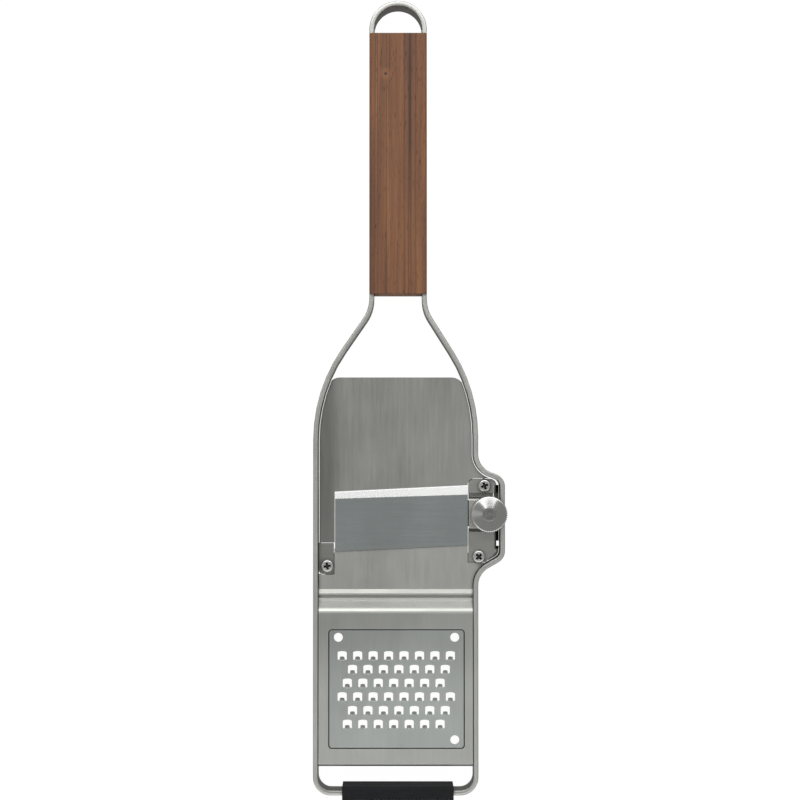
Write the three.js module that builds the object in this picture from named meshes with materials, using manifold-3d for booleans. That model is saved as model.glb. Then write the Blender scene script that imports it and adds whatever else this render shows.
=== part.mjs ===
// Hand grater and slicer paddle: a steel band bent into a closed frame holds a walnut handle, a feed deck
// with an adjustable slicing blade, a coarse grater plate and a rubber foot. It lies on its back: +X to the
// right, +Y towards the hanging loop, +Z out of the working side. Millimetres.

import * as THREE from "three";
import { mergeVertices } from "three/addons/utils/BufferGeometryUtils.js";
import Module from "manifold-3d";

const wasm = await Module();
wasm.setup();

// ---------------------------------------------------------------- driving dimensions

// Fits
const restGap = 0.2; // between pieces that touch or are welded
const slideGap = 0.15; // around a guide sleeve, on the radius
const boreGap = 0.2; // around a shank or rod, on the radius
const endChamfer = 0.3; // on the ends of threaded rods

// Band
const bandThickness = 2;
const bandDepth = 10;
const frameWidth = 68.4;
const cornerRadius = 6.5;
const shoulderAngle = THREE.MathUtils.degToRad(33.5);
const shoulderLowRadius = 65;
const shoulderHighRadius = 16;
const shoulderDrop = 5.7; // from the deck's top edge down to the shoulder's corner
const neckLength = 6.7; // from the upper shoulder corner up to the handle
const loopRise = 13.8; // from the handle's end to the loop's top

// Bump in the right rail, around the adjuster
const bumpReach = 11.1;
const bumpOuterRadius = 4.5;
const bumpInnerRadius = 9.2;
const bumpAboveKnob = 14.4;
const bumpBelowKnob = 17.9;
const bumpHighSlope = 4.1; // how far the upper flare climbs on its way back to the rail
const bumpLowSlope = 6.4;

// Handle
const handleWidth = 23.9;
const handleLength = 108.4;
const handleOffset = 1; // to the right of the middle
const handleThickness = 14;
const handleEdgeRadius = 1.2;
const handleCrown = 0.5;
const crownShare = 0.8; // how much of the crown's width is rounded
const dowelRadius = 2;
const dowelLength = 9;
const dowelInset = 26; // from each end of the handle

// Foot
const footLength = 46;
const footHeight = 5.5;
const footOffset = 0.9; // to the right of the middle
const footEdgeRadius = 0.7;

// Sheet metal
const sheet = 0.8;
const bendRadius = 1.3; // on the outside of a bend
const creaseRadius = 0.3; // on the inside of a bend
const sideGap = 0.5; // between a deck and the band
const flangeHeight = 5.2;
const flangeSpace = 1; // along the band, from a flange to a bend
const deckDrop = 3; // below the band's front edge
const plateDrop = 0.4;

// Lengths along the paddle, from the foot upwards
const footSpace = 8.1; // open space between foot and grater plate
const graterPlateLength = 68.85;
const graterRampLength = 3.9;
const graterRampLanding = 0.6; // flat sheet before the ramp starts
const graterRampRadius = 5; // where the ramp meets the plate
const plateHem = 3; // how far the plate's low edge is turned back
const beadWidth = 3.4;
const beadHeight = 1;
const beadPeak = 0.42; // share of its width from its low side to its peak
const beadPeakRadius = 1.2;
const beadFootRadius = 1.5;
const beadLanding = 0.5; // flat sheet on the bead's low side
const jointDrop = 0.2; // the two sheets meet this far below the deck
const landingLength = 21.05; // lower deck from its end to the middle of the blade's back
const bladeWidth = 24.3;
const feedDeckLength = 46.7;
const deckCornerRadius = 5.6;
const topLugDrop = 4; // below the deck's rounded corner
const topLugLength = 6;
const rightFlangeLength = 16.5;

// Grater window and blade
const windowSide = 4; // from the rail's inside to the window
const windowShift = 0.35;
const windowBelow = 7.3; // from the plate's lower edge
const windowHeight = 49.3;
const windowRadius = 1.5;
const windowGap = 0.4;
const graterBladeThickness = 0.6;
const toothWidth = 3.8;
const toothHeight = 3.65;
const tongueWidth = 2.1;
const tongueHeight = 1.35;
const tongueTaper = 0.8; // width of its tip, as a share of its root
const toothCrown = 0.5;
const toothCrownShare = 0.6; // flat part of the opening's crown
const toothPitch = 6.4;
const rowPitch = 5.66;
const rowCount = 6;
const rowShifts = [0, 2 / 3, 1 / 3]; // share of the pitch that a row starts further right
const firstToothInset = 3.4; // from the blade's left edge
const lastToothInset = 3.2;
const firstRowInset = 8.6; // from the blade's top edge to the first row's top
const locatorRadius = 1.85;
const locatorSideInset = 3.7; // from the blade's side to a locator hole's middle
const locatorHighInset = 2.9;
const locatorLowInset = 3.3;
const retainerLip = 1.1; // how far the retainer stands into the window
const retainerMargin = 2.2;
const retainerRadius = 2;

// Slicing blade
const bladeSkew = THREE.MathUtils.degToRad(2.8);
const bladeThickness = 0.6;
const bevelWidth = 2.9; // in the middle
const bevelSkew = THREE.MathUtils.degToRad(1.8); // less than the blade's, so the bevel widens to the right
const edgeThickness = 0.12; // in the middle
const bladeLeftInset = 7; // from the rail's inside
const bladeRightInset = 2.2;
const bladeLift = 0.2; // above the lower deck when it is lowest
const throatGap = 0.5; // in plan, between the cutting edge and the feed deck

// Carrier and its travel
const travel = 2.1;
const carrierDrop = travel + restGap; // below the decks' undersides when it is lowest
const seatLap = 1.2; // lower deck under the blade's back
const seatLength = 12.5;
const seatInset = 2.6; // from the blade's ends
const crossbarLength = 9.2;
const crossbarBelow = 4; // below the left screw
const crossbarSpace = 1.8; // from the left bracket
const earLength = 13.4;
const earRise = 1.2; // ear above the decks

// Brackets
const tabLength = 10.9; // across the paddle
const upperTabHeight = 5.8;
const upperTabSpace = 2; // between ear and upper tab
const lowerTabHeight = 12.6;
const lowerTabSpace = 0.8;
const lowerTabCut = 4.4;
const tabRadius = 2.6;
const tabCornerRadius = 1;
const rearLegTop = 3.2;
const rearLegLength = 14;
const rearLegSpace = 2; // beside the stud nut
const upperLipHeight = 23.4;
const lipSpace = 2.1; // open space between the two lips
const leftTabWidth = 6.3;
const leftTabHeight = 12.9;
const leftTabRadius = 1.8;
const leftTabBelow = 3.4; // below its screw

// Guide screws, M3
const screwRadius = 1.5;
const screwHeadRadius = 2.7;
const screwHeadHeight = 1.9;
const screwRimShare = 0.55; // of the head's height, up to where the dome starts
const screwBrowShare = 0.88;
const screwBrowRadius = 2.32; // where the dome is steepest
const screwCrownRadius = 1.49;
const recessLength = 3.1;
const recessWidth = 0.8;
const recessDepth = 1;
const sleeveWall = 0.4;
const nutAcrossFlats = 5.5;
const nutHeight = 2.4;
const screwTailLength = 0.4;
const screws = [
  { name: "upper_right", inset: 6.4, aboveKnob: 11.6, turn: 20 },
  { name: "lower_right", inset: 8.8, aboveKnob: -17.8, turn: 45 },
  { name: "left", inset: 3.8, aboveKnob: -21.7, turn: 10 },
];

// Knob and stud, M4
const knobInset = 4.8; // from the bump's inside to the knob's axis
const knobBelowEdge = 10; // from the middle of the cutting edge
const knobRadius = 7.6;
const knobFlatRadius = 2.8;
const knobRimHeight = 5;
const knobConeHeight = 1.6;
const knobHubRadius = 4.2;
const knobHubHeight = 1.3;
const knurlCount = 52;
const knurlDepth = 0.35;
const knurlRelief = 0.2; // between the knurl's roots and the cone
const knobLap = 0.5; // how far the knob's solids reach into each other before they are joined
const washerRadius = 4.5;
const washerHeight = 0.6;
const studRadius = 2;
const studGrooveRadius = 1.6;
const studInKnob = 4;
const studTail = 1.7; // below the stud nut
const clipRadius = 3.6;
const clipHeight = 0.6;
const clipPlay = 0.1; // along the stud, in its groove
const clipMouth = 2.4;
const studNutAcrossFlats = 7;
const studNutHeight = 2.4;

// ---------------------------------------------------------------- derived places

const bandBack = (handleThickness - bandDepth) / 2;
const bandFront = bandBack + bandDepth;
const railX = (frameWidth - bandThickness) / 2;
const railInside = railX - bandThickness / 2;
const gripX = (handleWidth - bandThickness) / 2;
const bumpX = railX + bumpReach;
const bumpInside = bumpX - bandThickness / 2;
const barY = footHeight / 2;

const deckTop = bandFront - deckDrop;
const deckUnder = deckTop - sheet;
const plateTop = bandFront - plateDrop;
const plateUnder = plateTop - sheet;

const plateLowY = footHeight + footSpace;
const plateHighY = plateLowY + graterPlateLength;
const lowerDeckLowY = plateHighY + restGap;
const bladeBackY = lowerDeckLowY + landingLength;
const bladeEdgeY = bladeBackY + bladeWidth;
const deckTopY = bladeEdgeY + feedDeckLength;
const shoulderLowY = deckTopY - shoulderDrop;
const gripLeft = handleOffset - gripX;
const gripRight = handleOffset + gripX;
const shoulderHighY = shoulderLowY + (railX - gripX) / Math.tan(shoulderAngle);
const handleLowY = shoulderHighY + neckLength;
const handleHighY = handleLowY + handleLength;
const loopTopY = handleHighY + loopRise - bandThickness / 2;

const bladeLeft = -(railInside - bladeLeftInset);
const bladeRight = railInside - bladeRightInset;
const bladeMiddle = (bladeLeft + bladeRight) / 2;
const bladeUnder = deckTop + bladeLift;

const knobX = bumpInside - knobInset;
const knobY = bladeEdgeY - knobBelowEdge;

const carrierTop = deckUnder - carrierDrop;
const carrierUnder = carrierTop - sheet;
const earTop = deckTop + earRise;
const earUnder = earTop - sheet;
const earLeft = bladeRight + 2 * restGap;
const tabRight = earLeft - restGap + tabLength;
const armRight = tabRight - 2 * restGap;
const earLowY = knobY - earLength / 2;
const earHighY = knobY + earLength / 2;

const windowLeft = -(railInside - windowSide) + windowShift;
const windowRight = railInside - windowSide + windowShift;
const windowLowY = plateLowY + windowBelow;
const windowHighY = windowLowY + windowHeight;

const leftTabLeft = -(railInside - restGap);
const leftTabRight = leftTabLeft + leftTabWidth;
const sleeveRadius = screwRadius + boreGap + sleeveWall;
const sleeveTop = deckUnder - boreGap;
const sleeveUnder = carrierUnder - restGap - bladeLift;
const nutTop = sleeveUnder - boreGap;

// The height of the cutting edge, or of a line beside it, at a place across the paddle.
const skewedY = (x, y) => y + (x - bladeMiddle) * Math.tan(bladeSkew);

// ---------------------------------------------------------------- outlines

const arcStep = THREE.MathUtils.degToRad(6);

// The unit direction from one corner to the next.
function direction(from, to) {
  return new THREE.Vector2(to.x - from.x, to.y - from.y).normalize();
}

// The directions into and out of each corner; an open line keeps its own direction at both ends.
function directionsAt(corners, i, closed) {
  const last = corners.length - 1;
  const before = corners[i === 0 ? last : i - 1];
  const after = corners[i === last ? 0 : i + 1];
  const into = !closed && i === 0 ? direction(corners[0], after) : direction(before, corners[i]);
  const out = !closed && i === last ? into : direction(corners[i], after);
  return { into, out };
}

// The points of a line whose corners {x, y, r} are rounded to their own radius.
function roundedPoints(corners, closed = true) {
  const points = [];
  const add = (x, y) => {
    const last = points.at(-1);
    if (!last || Math.hypot(last.x - x, last.y - y) > 1e-4) points.push(new THREE.Vector2(x, y));
  };
  corners.forEach((corner, i) => {
    const { into, out } = directionsAt(corners, i, closed);
    const turn = Math.atan2(into.cross(out), into.dot(out));
    if (!corner.r || Math.abs(turn) < 1e-6) {
      add(corner.x, corner.y);
      return;
    }
    const side = Math.sign(turn);
    const setback = corner.r * Math.tan(Math.abs(turn) / 2);
    const startX = corner.x - into.x * setback;
    const startY = corner.y - into.y * setback;
    const centreX = startX - into.y * side * corner.r;
    const centreY = startY + into.x * side * corner.r;
    const steps = Math.ceil(Math.abs(turn) / arcStep);
    for (let k = 0; k <= steps; k++) {
      const angle = (turn * k) / steps;
      const cos = Math.cos(angle);
      const sin = Math.sin(angle);
      const armX = startX - centreX;
      const armY = startY - centreY;
      add(centreX + armX * cos - armY * sin, centreY + armX * sin + armY * cos);
    }
  });
  if (closed && points[0].distanceTo(points.at(-1)) < 1e-4) points.pop();
  return points;
}

// The corners moved to the right of their direction of travel: outwards on a counterclockwise outline.
function moved(corners, distance, closed = true) {
  return corners.map((corner, i) => {
    const { into, out } = directionsAt(corners, i, closed);
    const share = distance / (1 + into.dot(out));
    return {
      x: corner.x + (into.y + out.y) * share,
      y: corner.y - (into.x + out.x) * share,
      r: corner.r ? corner.r + Math.sign(into.cross(out)) * distance : 0,
    };
  });
}

// The outline of a bent sheet, from the corners of its front surface, with the metal to their left.
function sheetOutline(corners, thickness = sheet) {
  const back = roundedPoints(moved(corners, -thickness, false), false);
  return [...roundedPoints(corners, false), ...back.reverse()];
}

const rectangle = (x0, x1, y0, y1, r = 0) =>
  roundedPoints([
    { x: x0, y: y0, r },
    { x: x1, y: y0, r },
    { x: x1, y: y1, r },
    { x: x0, y: y1, r },
  ]);

const circle = (x, y, radius, sides = 24) =>
  Array.from({ length: sides }, (_, i) => {
    const angle = (2 * Math.PI * i) / sides;
    return new THREE.Vector2(x + radius * Math.cos(angle), y + radius * Math.sin(angle));
  });

const hexagon = (x, y, acrossFlats) => circle(x, y, acrossFlats / Math.sqrt(3), 6);

// ---------------------------------------------------------------- solids

// A closed three.js geometry as a solid that can be joined and cut.
function solidOf(geometry) {
  geometry.deleteAttribute("normal");
  geometry.deleteAttribute("uv");
  const merged = mergeVertices(geometry);
  return new wasm.Manifold(
    new wasm.Mesh({
      numProp: 3,
      vertProperties: merged.attributes.position.array,
      triVerts: new Uint32Array(merged.index.array),
    }),
  );
}

const join = (first, ...others) => others.reduce((sum, other) => sum.add(other), first);
const cut = (first, ...others) => others.reduce((rest, other) => rest.subtract(other), first);

// An outline pushed to a depth, before it is turned into place.
function extruded(points, depth, holes = []) {
  const shape = new THREE.Shape(points);
  shape.holes = holes.map((hole) => new THREE.Path(hole));
  return new THREE.ExtrudeGeometry(shape, { depth, bevelEnabled: false });
}

// An (x, y) outline between two heights.
const slab = (points, z0, z1, holes) => solidOf(extruded(points, z1 - z0, holes).translate(0, 0, z0));

const block = (x0, x1, y0, y1, z0, z1) => slab(rectangle(x0, x1, y0, y1), z0, z1);

const post = (x, y, radius, z0, z1, sides) => slab(circle(x, y, radius, sides), z0, z1);

// A (y, z) outline from x0 to x1.
function alongX(points, x0, x1, holes) {
  const turn = new THREE.Matrix4().makeBasis(
    new THREE.Vector3(0, 1, 0),
    new THREE.Vector3(0, 0, 1),
    new THREE.Vector3(1, 0, 0),
  );
  return solidOf(extruded(points, x1 - x0, holes).applyMatrix4(turn).translate(x0, 0, 0));
}

// An (x, z) outline from y0 to y1.
function alongY(points, y0, y1) {
  const turn = new THREE.Matrix4().makeBasis(
    new THREE.Vector3(1, 0, 0),
    new THREE.Vector3(0, 0, 1),
    new THREE.Vector3(0, -1, 0),
  );
  return solidOf(extruded(points, y1 - y0).applyMatrix4(turn).translate(0, y1, 0));
}

// A (y, z) outline from x0 to x1 that climbs with x, drawn where it stands at the blade's middle.
function alongBlade(points, x0, x1, skew) {
  const rise = Math.tan(skew);
  const turn = new THREE.Matrix4().makeBasis(
    new THREE.Vector3(0, 1, 0),
    new THREE.Vector3(0, 0, 1),
    new THREE.Vector3(1, rise, 0),
  );
  return solidOf(extruded(points, x1 - x0).applyMatrix4(turn).translate(x0, (x0 - bladeMiddle) * rise, 0));
}

// A profile of (radius, height) points turned about an upright axis.
function turned(points, x, y, sides = 32) {
  const profile = points.map(([radius, height]) => new THREE.Vector2(radius, height));
  const geometry = new THREE.LatheGeometry(profile, sides);
  return solidOf(geometry.rotateX(Math.PI / 2).translate(x, y, 0));
}

// ---------------------------------------------------------------- materials and assembly

function materialOf(color, metalness, roughness) {
  return new THREE.MeshStandardMaterial({ color, metalness, roughness });
}

const brushedSteel = materialOf(0x8f908c, 1, 0.42);
const bandSteel = materialOf(0xa6a8a4, 1, 0.38);
const etchedSteel = materialOf(0xa2a8a4, 1, 0.36);
const bladeSteel = materialOf(0x8d9699, 1, 0.28);
const turnedSteel = materialOf(0xb4b6b3, 1, 0.3);
const walnut = materialOf(0x6e4a33, 0, 0.55);
const rubber = materialOf(0x1c1e20, 0, 0.7);

const paddle = new THREE.Group();

function addPart(name, solid, material) {
  const { vertProperties, triVerts } = solid.getMesh();
  const geometry = new THREE.BufferGeometry();
  geometry.setAttribute("position", new THREE.BufferAttribute(vertProperties, 3));
  geometry.setIndex(new THREE.BufferAttribute(triVerts, 1));
  geometry.computeVertexNormals();
  const mesh = new THREE.Mesh(geometry, material);
  mesh.name = name;
  paddle.add(mesh);
}

// ---------------------------------------------------------------- frame band

// The band's centre line, counterclockwise from its lower right corner.
const bandCorners = [
  { x: railX, y: barY, r: cornerRadius },
  { x: railX, y: knobY - bumpBelowKnob - bumpLowSlope, r: bumpInnerRadius },
  { x: bumpX, y: knobY - bumpBelowKnob, r: bumpOuterRadius },
  { x: bumpX, y: knobY + bumpAboveKnob, r: bumpOuterRadius },
  { x: railX, y: knobY + bumpAboveKnob + bumpHighSlope, r: bumpInnerRadius },
  { x: railX, y: shoulderLowY, r: shoulderLowRadius },
  { x: gripRight, y: shoulderHighY, r: shoulderHighRadius },
  { x: gripRight, y: loopTopY, r: gripX },
  { x: gripLeft, y: loopTopY, r: gripX },
  { x: gripLeft, y: shoulderHighY, r: shoulderHighRadius },
  { x: -railX, y: shoulderLowY, r: shoulderLowRadius },
  { x: -railX, y: barY, r: cornerRadius },
];

const bandOutside = roundedPoints(moved(bandCorners, bandThickness / 2));
const bandInside = roundedPoints(moved(bandCorners, -bandThickness / 2));

// The outline inside the band, a gap away from it.
const insideBand = (gap) => roundedPoints(moved(bandCorners, -bandThickness / 2 - gap));

// All the space inside the band, a gap away from it.
const spaceInside = (gap) => slab(insideBand(gap), 0, bandFront);

// How far right the space inside the band reaches at a height.
function insideReach(gap, y) {
  const points = insideBand(gap);
  const reaches = points.map((a, i) => {
    const b = points[(i + 1) % points.length];
    if (a.y > y === b.y > y) return 0;
    return a.x + ((b.x - a.x) * (y - a.y)) / (b.y - a.y);
  });
  return Math.max(...reaches);
}

addPart("frame_band", slab(bandOutside, bandBack, bandFront, [bandInside]), bandSteel);

// ---------------------------------------------------------------- handle

const splitZ = handleThickness / 2;
const grooveReach = gripX - bandThickness / 2 - boreGap;

// One scale, seen from its end; a rebate at each side takes half of the band's depth.
function scaleOutline(outerZ, crown) {
  const towards = Math.sign(outerZ - splitZ);
  const innerZ = splitZ + towards * (restGap / 2);
  const rebateZ = splitZ + towards * (bandDepth / 2 + boreGap);
  const edgeZ = outerZ - towards * crown;
  const half = handleWidth / 2;
  const crownRadius = crown ? (half * half) / crown : 0;
  const corners = [
    { x: grooveReach, y: innerZ },
    { x: grooveReach, y: rebateZ },
    { x: half, y: rebateZ },
    { x: half, y: edgeZ, r: handleEdgeRadius },
    { x: 0, y: outerZ, r: crownRadius * crownShare },
    { x: -half, y: edgeZ, r: handleEdgeRadius },
    { x: -half, y: rebateZ },
    { x: -grooveReach, y: rebateZ },
    { x: -grooveReach, y: innerZ },
  ].map((corner) => ({ ...corner, x: corner.x + handleOffset }));
  const points = roundedPoints(corners);
  return towards > 0 ? points : points.reverse();
}

const dowelPlaces = [
  { name: "upper_dowel", y: handleHighY - dowelInset },
  { name: "lower_dowel", y: handleLowY + dowelInset },
];

function handleScale(name, outerZ, crown) {
  const body = alongY(scaleOutline(outerZ, crown), handleLowY, handleHighY);
  const depth = dowelLength / 2 + restGap;
  const holeRadius = dowelRadius + boreGap;
  const holes = dowelPlaces.map(({ y }) => {
    return post(handleOffset, y, holeRadius, splitZ - depth, splitZ + depth);
  });
  addPart(name, cut(body, ...holes), walnut);
}

handleScale("handle_front_scale", handleThickness, handleCrown);
handleScale("handle_rear_scale", 0, 0);
dowelPlaces.forEach(({ name, y }) => {
  const under = splitZ - dowelLength / 2;
  addPart(name, post(handleOffset, y, dowelRadius, under, under + dowelLength), walnut);
});

// ---------------------------------------------------------------- foot

const footOutline = rectangle(0, footHeight, 0, handleThickness, footEdgeRadius);
const footBore = rectangle(
  barY - bandThickness / 2 - boreGap,
  barY + bandThickness / 2 + boreGap,
  bandBack - boreGap,
  bandFront + boreGap,
);
const footLeft = footOffset - footLength / 2;
addPart("foot_sleeve", alongX(footOutline, footLeft, footLeft + footLength, [footBore]), rubber);

// ---------------------------------------------------------------- sheet decks

// A flange bent back along the band, between two heights on one side.
function sideFlange(side, y0, y1, topZ, gap = sideGap) {
  const wall = cut(spaceInside(gap), spaceInside(gap + sheet));
  const reach = side * bumpX;
  return wall.intersect(block(Math.min(0, reach), Math.max(0, reach), y0, y1, topZ - flangeHeight, topZ));
}

// The feed deck ends just above the cutting edge, and runs down beside the blade on the left.
function feedDeck() {
  const cornerY = deckTopY - deckCornerRadius;
  const topHalf = insideReach(sideGap, cornerY);
  const lowY = bladeBackY + seatLap;
  const upper = slab(rectangle(-topHalf, topHalf, lowY, deckTopY, deckCornerRadius), deckUnder, deckTop);
  const lower = block(-bumpX, bumpX, lowY, cornerY, deckUnder, deckTop);
  const throatLeft = bladeLeft - restGap;
  const tabLeft = earLeft - 2 * restGap;
  const throat = slab(
    roundedPoints([
      { x: throatLeft, y: 0 },
      { x: bumpX, y: 0 },
      { x: bumpX, y: upperTabHighY + restGap },
      { x: tabLeft, y: upperTabHighY + restGap, r: tabRadius },
      { x: tabLeft, y: skewedY(tabLeft, bladeEdgeY) + throatGap },
      { x: throatLeft, y: skewedY(throatLeft, bladeEdgeY) + throatGap },
    ]),
    0,
    bandFront,
  );
  const besideTab = block(-bumpX, throatLeft + restGap, 0, leftTabHighY + restGap, 0, bandFront);
  const sheetArea = cut(join(upper, lower), throat, besideTab).intersect(spaceInside(sideGap));
  const topLugHighY = cornerY - topLugDrop;
  const topLugLowY = topLugHighY - topLugLength;
  const rightFlangeLowY = upperTabHighY + bumpHighSlope + restGap;
  return join(
    sheetArea,
    sideFlange(-1, leftTabHighY + restGap, bladeEdgeY, deckTop),
    sideFlange(-1, topLugLowY, topLugHighY, deckTop),
    sideFlange(1, rightFlangeLowY, rightFlangeLowY + rightFlangeLength, deckTop),
    sideFlange(1, topLugLowY, topLugHighY, deckTop),
  );
}

const upperTabLowY = earHighY + upperTabSpace;
const upperTabHighY = upperTabLowY + upperTabHeight;
const lowerTabHighY = earLowY - lowerTabSpace;
const lowerTabLowY = lowerTabHighY - lowerTabHeight;
const leftScrewY = knobY + screws[2].aboveKnob;
const leftTabLowY = leftScrewY - leftTabBelow;
const leftTabHighY = leftTabLowY + leftTabHeight;

addPart("feed_deck", feedDeck(), brushedSteel);

// The lower deck runs from under the blade's back down to a raised cross bead.
function lowerDeck() {
  const beadY = lowerDeckLowY + beadLanding;
  const highY = skewedY(bladeRight, bladeBackY) + seatLap;
  const profile = sheetOutline([
    { x: highY, y: deckTop },
    { x: beadY + beadWidth, y: deckTop, r: beadFootRadius },
    { x: beadY + beadWidth * beadPeak, y: deckTop + beadHeight, r: beadPeakRadius },
    { x: beadY, y: deckTop - jointDrop, r: creaseRadius },
    { x: lowerDeckLowY, y: deckTop - jointDrop },
  ]);
  const body = alongX(profile, -railInside, bumpInside);
  const underBlade = slab(
    roundedPoints([
      { x: -bumpX, y: skewedY(-bumpX, bladeBackY) + seatLap },
      { x: bumpX, y: skewedY(bumpX, bladeBackY) + seatLap },
      { x: bumpX, y: deckTopY },
      { x: -bumpX, y: deckTopY },
    ]),
    0,
    bandFront,
  );
  const besideLeftTab = block(-bumpX, leftTabRight + restGap, leftTabLowY - restGap, deckTopY, 0, bandFront);
  const besideRightTab = block(earLeft - 2 * restGap, bumpX, lowerTabLowY - restGap, deckTopY, 0, bandFront);
  const sheetArea = cut(body, underBlade, besideLeftTab, besideRightTab).intersect(spaceInside(restGap));
  const flangeLowY = beadY + beadWidth + flangeSpace;
  const leftFlange = sideFlange(-1, flangeLowY, leftTabLowY - restGap, deckTop, restGap);
  const rightFlange = sideFlange(1, flangeLowY, bandCorners[1].y - restGap, deckTop, restGap);
  return join(sheetArea, leftFlange, rightFlange);
}

addPart("lower_deck", lowerDeck(), brushedSteel);

// The grater plate rises from the joint to the band's front edge, and has a window for the blade.
function graterPlate() {
  const rampLowY = plateHighY - graterRampLanding;
  const profile = sheetOutline([
    { x: plateHighY, y: deckTop - jointDrop },
    { x: rampLowY, y: deckTop - jointDrop, r: creaseRadius },
    { x: rampLowY - graterRampLength, y: plateTop, r: graterRampRadius },
    { x: plateLowY, y: plateTop, r: bendRadius },
    { x: plateLowY, y: plateTop - plateHem },
  ]);
  const body = alongX(profile, -railInside, railInside).intersect(spaceInside(restGap));
  const flangeLowY = plateLowY + bendRadius + flangeSpace;
  const flangeHighY = rampLowY - graterRampLength - 2 * flangeSpace;
  const leftFlange = sideFlange(-1, flangeLowY, flangeHighY, plateTop, restGap);
  const rightFlange = sideFlange(1, flangeLowY, flangeHighY, plateTop, restGap);
  const opening = rectangle(windowLeft, windowRight, windowLowY, windowHighY, windowRadius);
  return cut(join(body, leftFlange, rightFlange), slab(opening, 0, bandFront));
}

addPart("grater_plate", graterPlate(), brushedSteel);

// ---------------------------------------------------------------- grater blade and retainer

const graterLeft = windowLeft + windowGap;
const graterRight = windowRight - windowGap;
const graterLowY = windowLowY + windowGap;
const graterHighY = windowHighY - windowGap;

// The opening behind one tooth: a crowned slot, with the tooth's tongue standing up into it.
function toothOpening(x, y) {
  const half = toothWidth / 2;
  const tongue = tongueWidth / 2;
  const lowY = y - toothHeight;
  return roundedPoints([
    { x: x - half, y: lowY },
    { x: x - tongue, y: lowY },
    { x: x - tongue * tongueTaper, y: lowY + tongueHeight },
    { x: x + tongue * tongueTaper, y: lowY + tongueHeight },
    { x: x + tongue, y: lowY },
    { x: x + half, y: lowY },
    { x: x + half, y: y - toothCrown },
    { x: x + half * toothCrownShare, y },
    { x: x - half * toothCrownShare, y },
    { x: x - half, y: y - toothCrown },
  ]);
}

// Rows of tooth openings from the top down, each shifted by its share of the pitch.
function toothOpenings() {
  const openings = [];
  for (let row = 0; row < rowCount; row++) {
    const y = graterHighY - firstRowInset - row * rowPitch;
    const shift = rowShifts[row % rowShifts.length] * toothPitch;
    const lastX = graterRight - lastToothInset - toothWidth / 2;
    for (let x = graterLeft + firstToothInset + toothWidth / 2 + shift; x <= lastX; x += toothPitch) {
      openings.push(toothOpening(x, y));
    }
  }
  return openings;
}

const locatorHoles = [
  circle(graterLeft + locatorSideInset, graterHighY - locatorHighInset, locatorRadius),
  circle(graterRight - locatorSideInset, graterHighY - locatorHighInset, locatorRadius),
  circle(graterRight - locatorSideInset, graterLowY + locatorLowInset, locatorRadius),
];

const graterUnder = plateUnder;
const graterTop = graterUnder + graterBladeThickness;
const graterOutline = rectangle(graterLeft, graterRight, graterLowY, graterHighY, windowRadius - windowGap);
const graterCuts = [...toothOpenings(), ...locatorHoles].map((hole) => slab(hole, 0, bandFront));
addPart("grater_blade", cut(slab(graterOutline, graterUnder, graterTop), ...graterCuts), etchedSteel);

const retainerOutside = rectangle(
  windowLeft - retainerMargin,
  windowRight + retainerMargin,
  windowLowY - retainerMargin,
  windowHighY + retainerMargin,
  retainerRadius,
);
const retainerInside = rectangle(
  windowLeft + retainerLip,
  windowRight - retainerLip,
  windowLowY + retainerLip,
  windowHighY - retainerLip,
  windowRadius,
);
const retainerTop = graterUnder - restGap;
const retainer = slab(retainerOutside, retainerTop - sheet, retainerTop, [retainerInside]);
addPart("grater_retainer", retainer, brushedSteel);

// ---------------------------------------------------------------- slicing blade

// A strip with upright ends and skewed long edges; its front face is ground down to the cutting edge.
function slicingBlade() {
  const front = bladeUnder + bladeThickness;
  const bevelTopY = bladeEdgeY - bevelWidth;
  const grindReach = 2 * bevelWidth;
  const grindDrop = 2 * (bladeThickness - edgeThickness);
  const outlineOf = (points) => points.map(([y, z]) => new THREE.Vector2(y, z));
  const strip = outlineOf([
    [bladeBackY, bladeUnder],
    [bladeEdgeY, bladeUnder],
    [bladeEdgeY, front],
    [bladeBackY, front],
  ]);
  const ground = outlineOf([
    [bevelTopY, front],
    [bevelTopY + grindReach, front - grindDrop],
    [bevelTopY + grindReach, front + bladeThickness],
    [bevelTopY, front + bladeThickness],
  ]);
  return cut(
    alongBlade(strip, bladeLeft, bladeRight, bladeSkew),
    alongBlade(ground, bladeLeft - restGap, bladeRight + restGap, bevelSkew),
  );
}

addPart("slicing_blade", slicingBlade(), bladeSteel);

// ---------------------------------------------------------------- blade carrier

const screwPlaces = screws.map(({ name, inset, aboveKnob, turn }) => ({
  name,
  x: name === "left" ? -(railInside - inset) : bumpInside - inset,
  y: knobY + aboveKnob,
  turn,
}));

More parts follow.
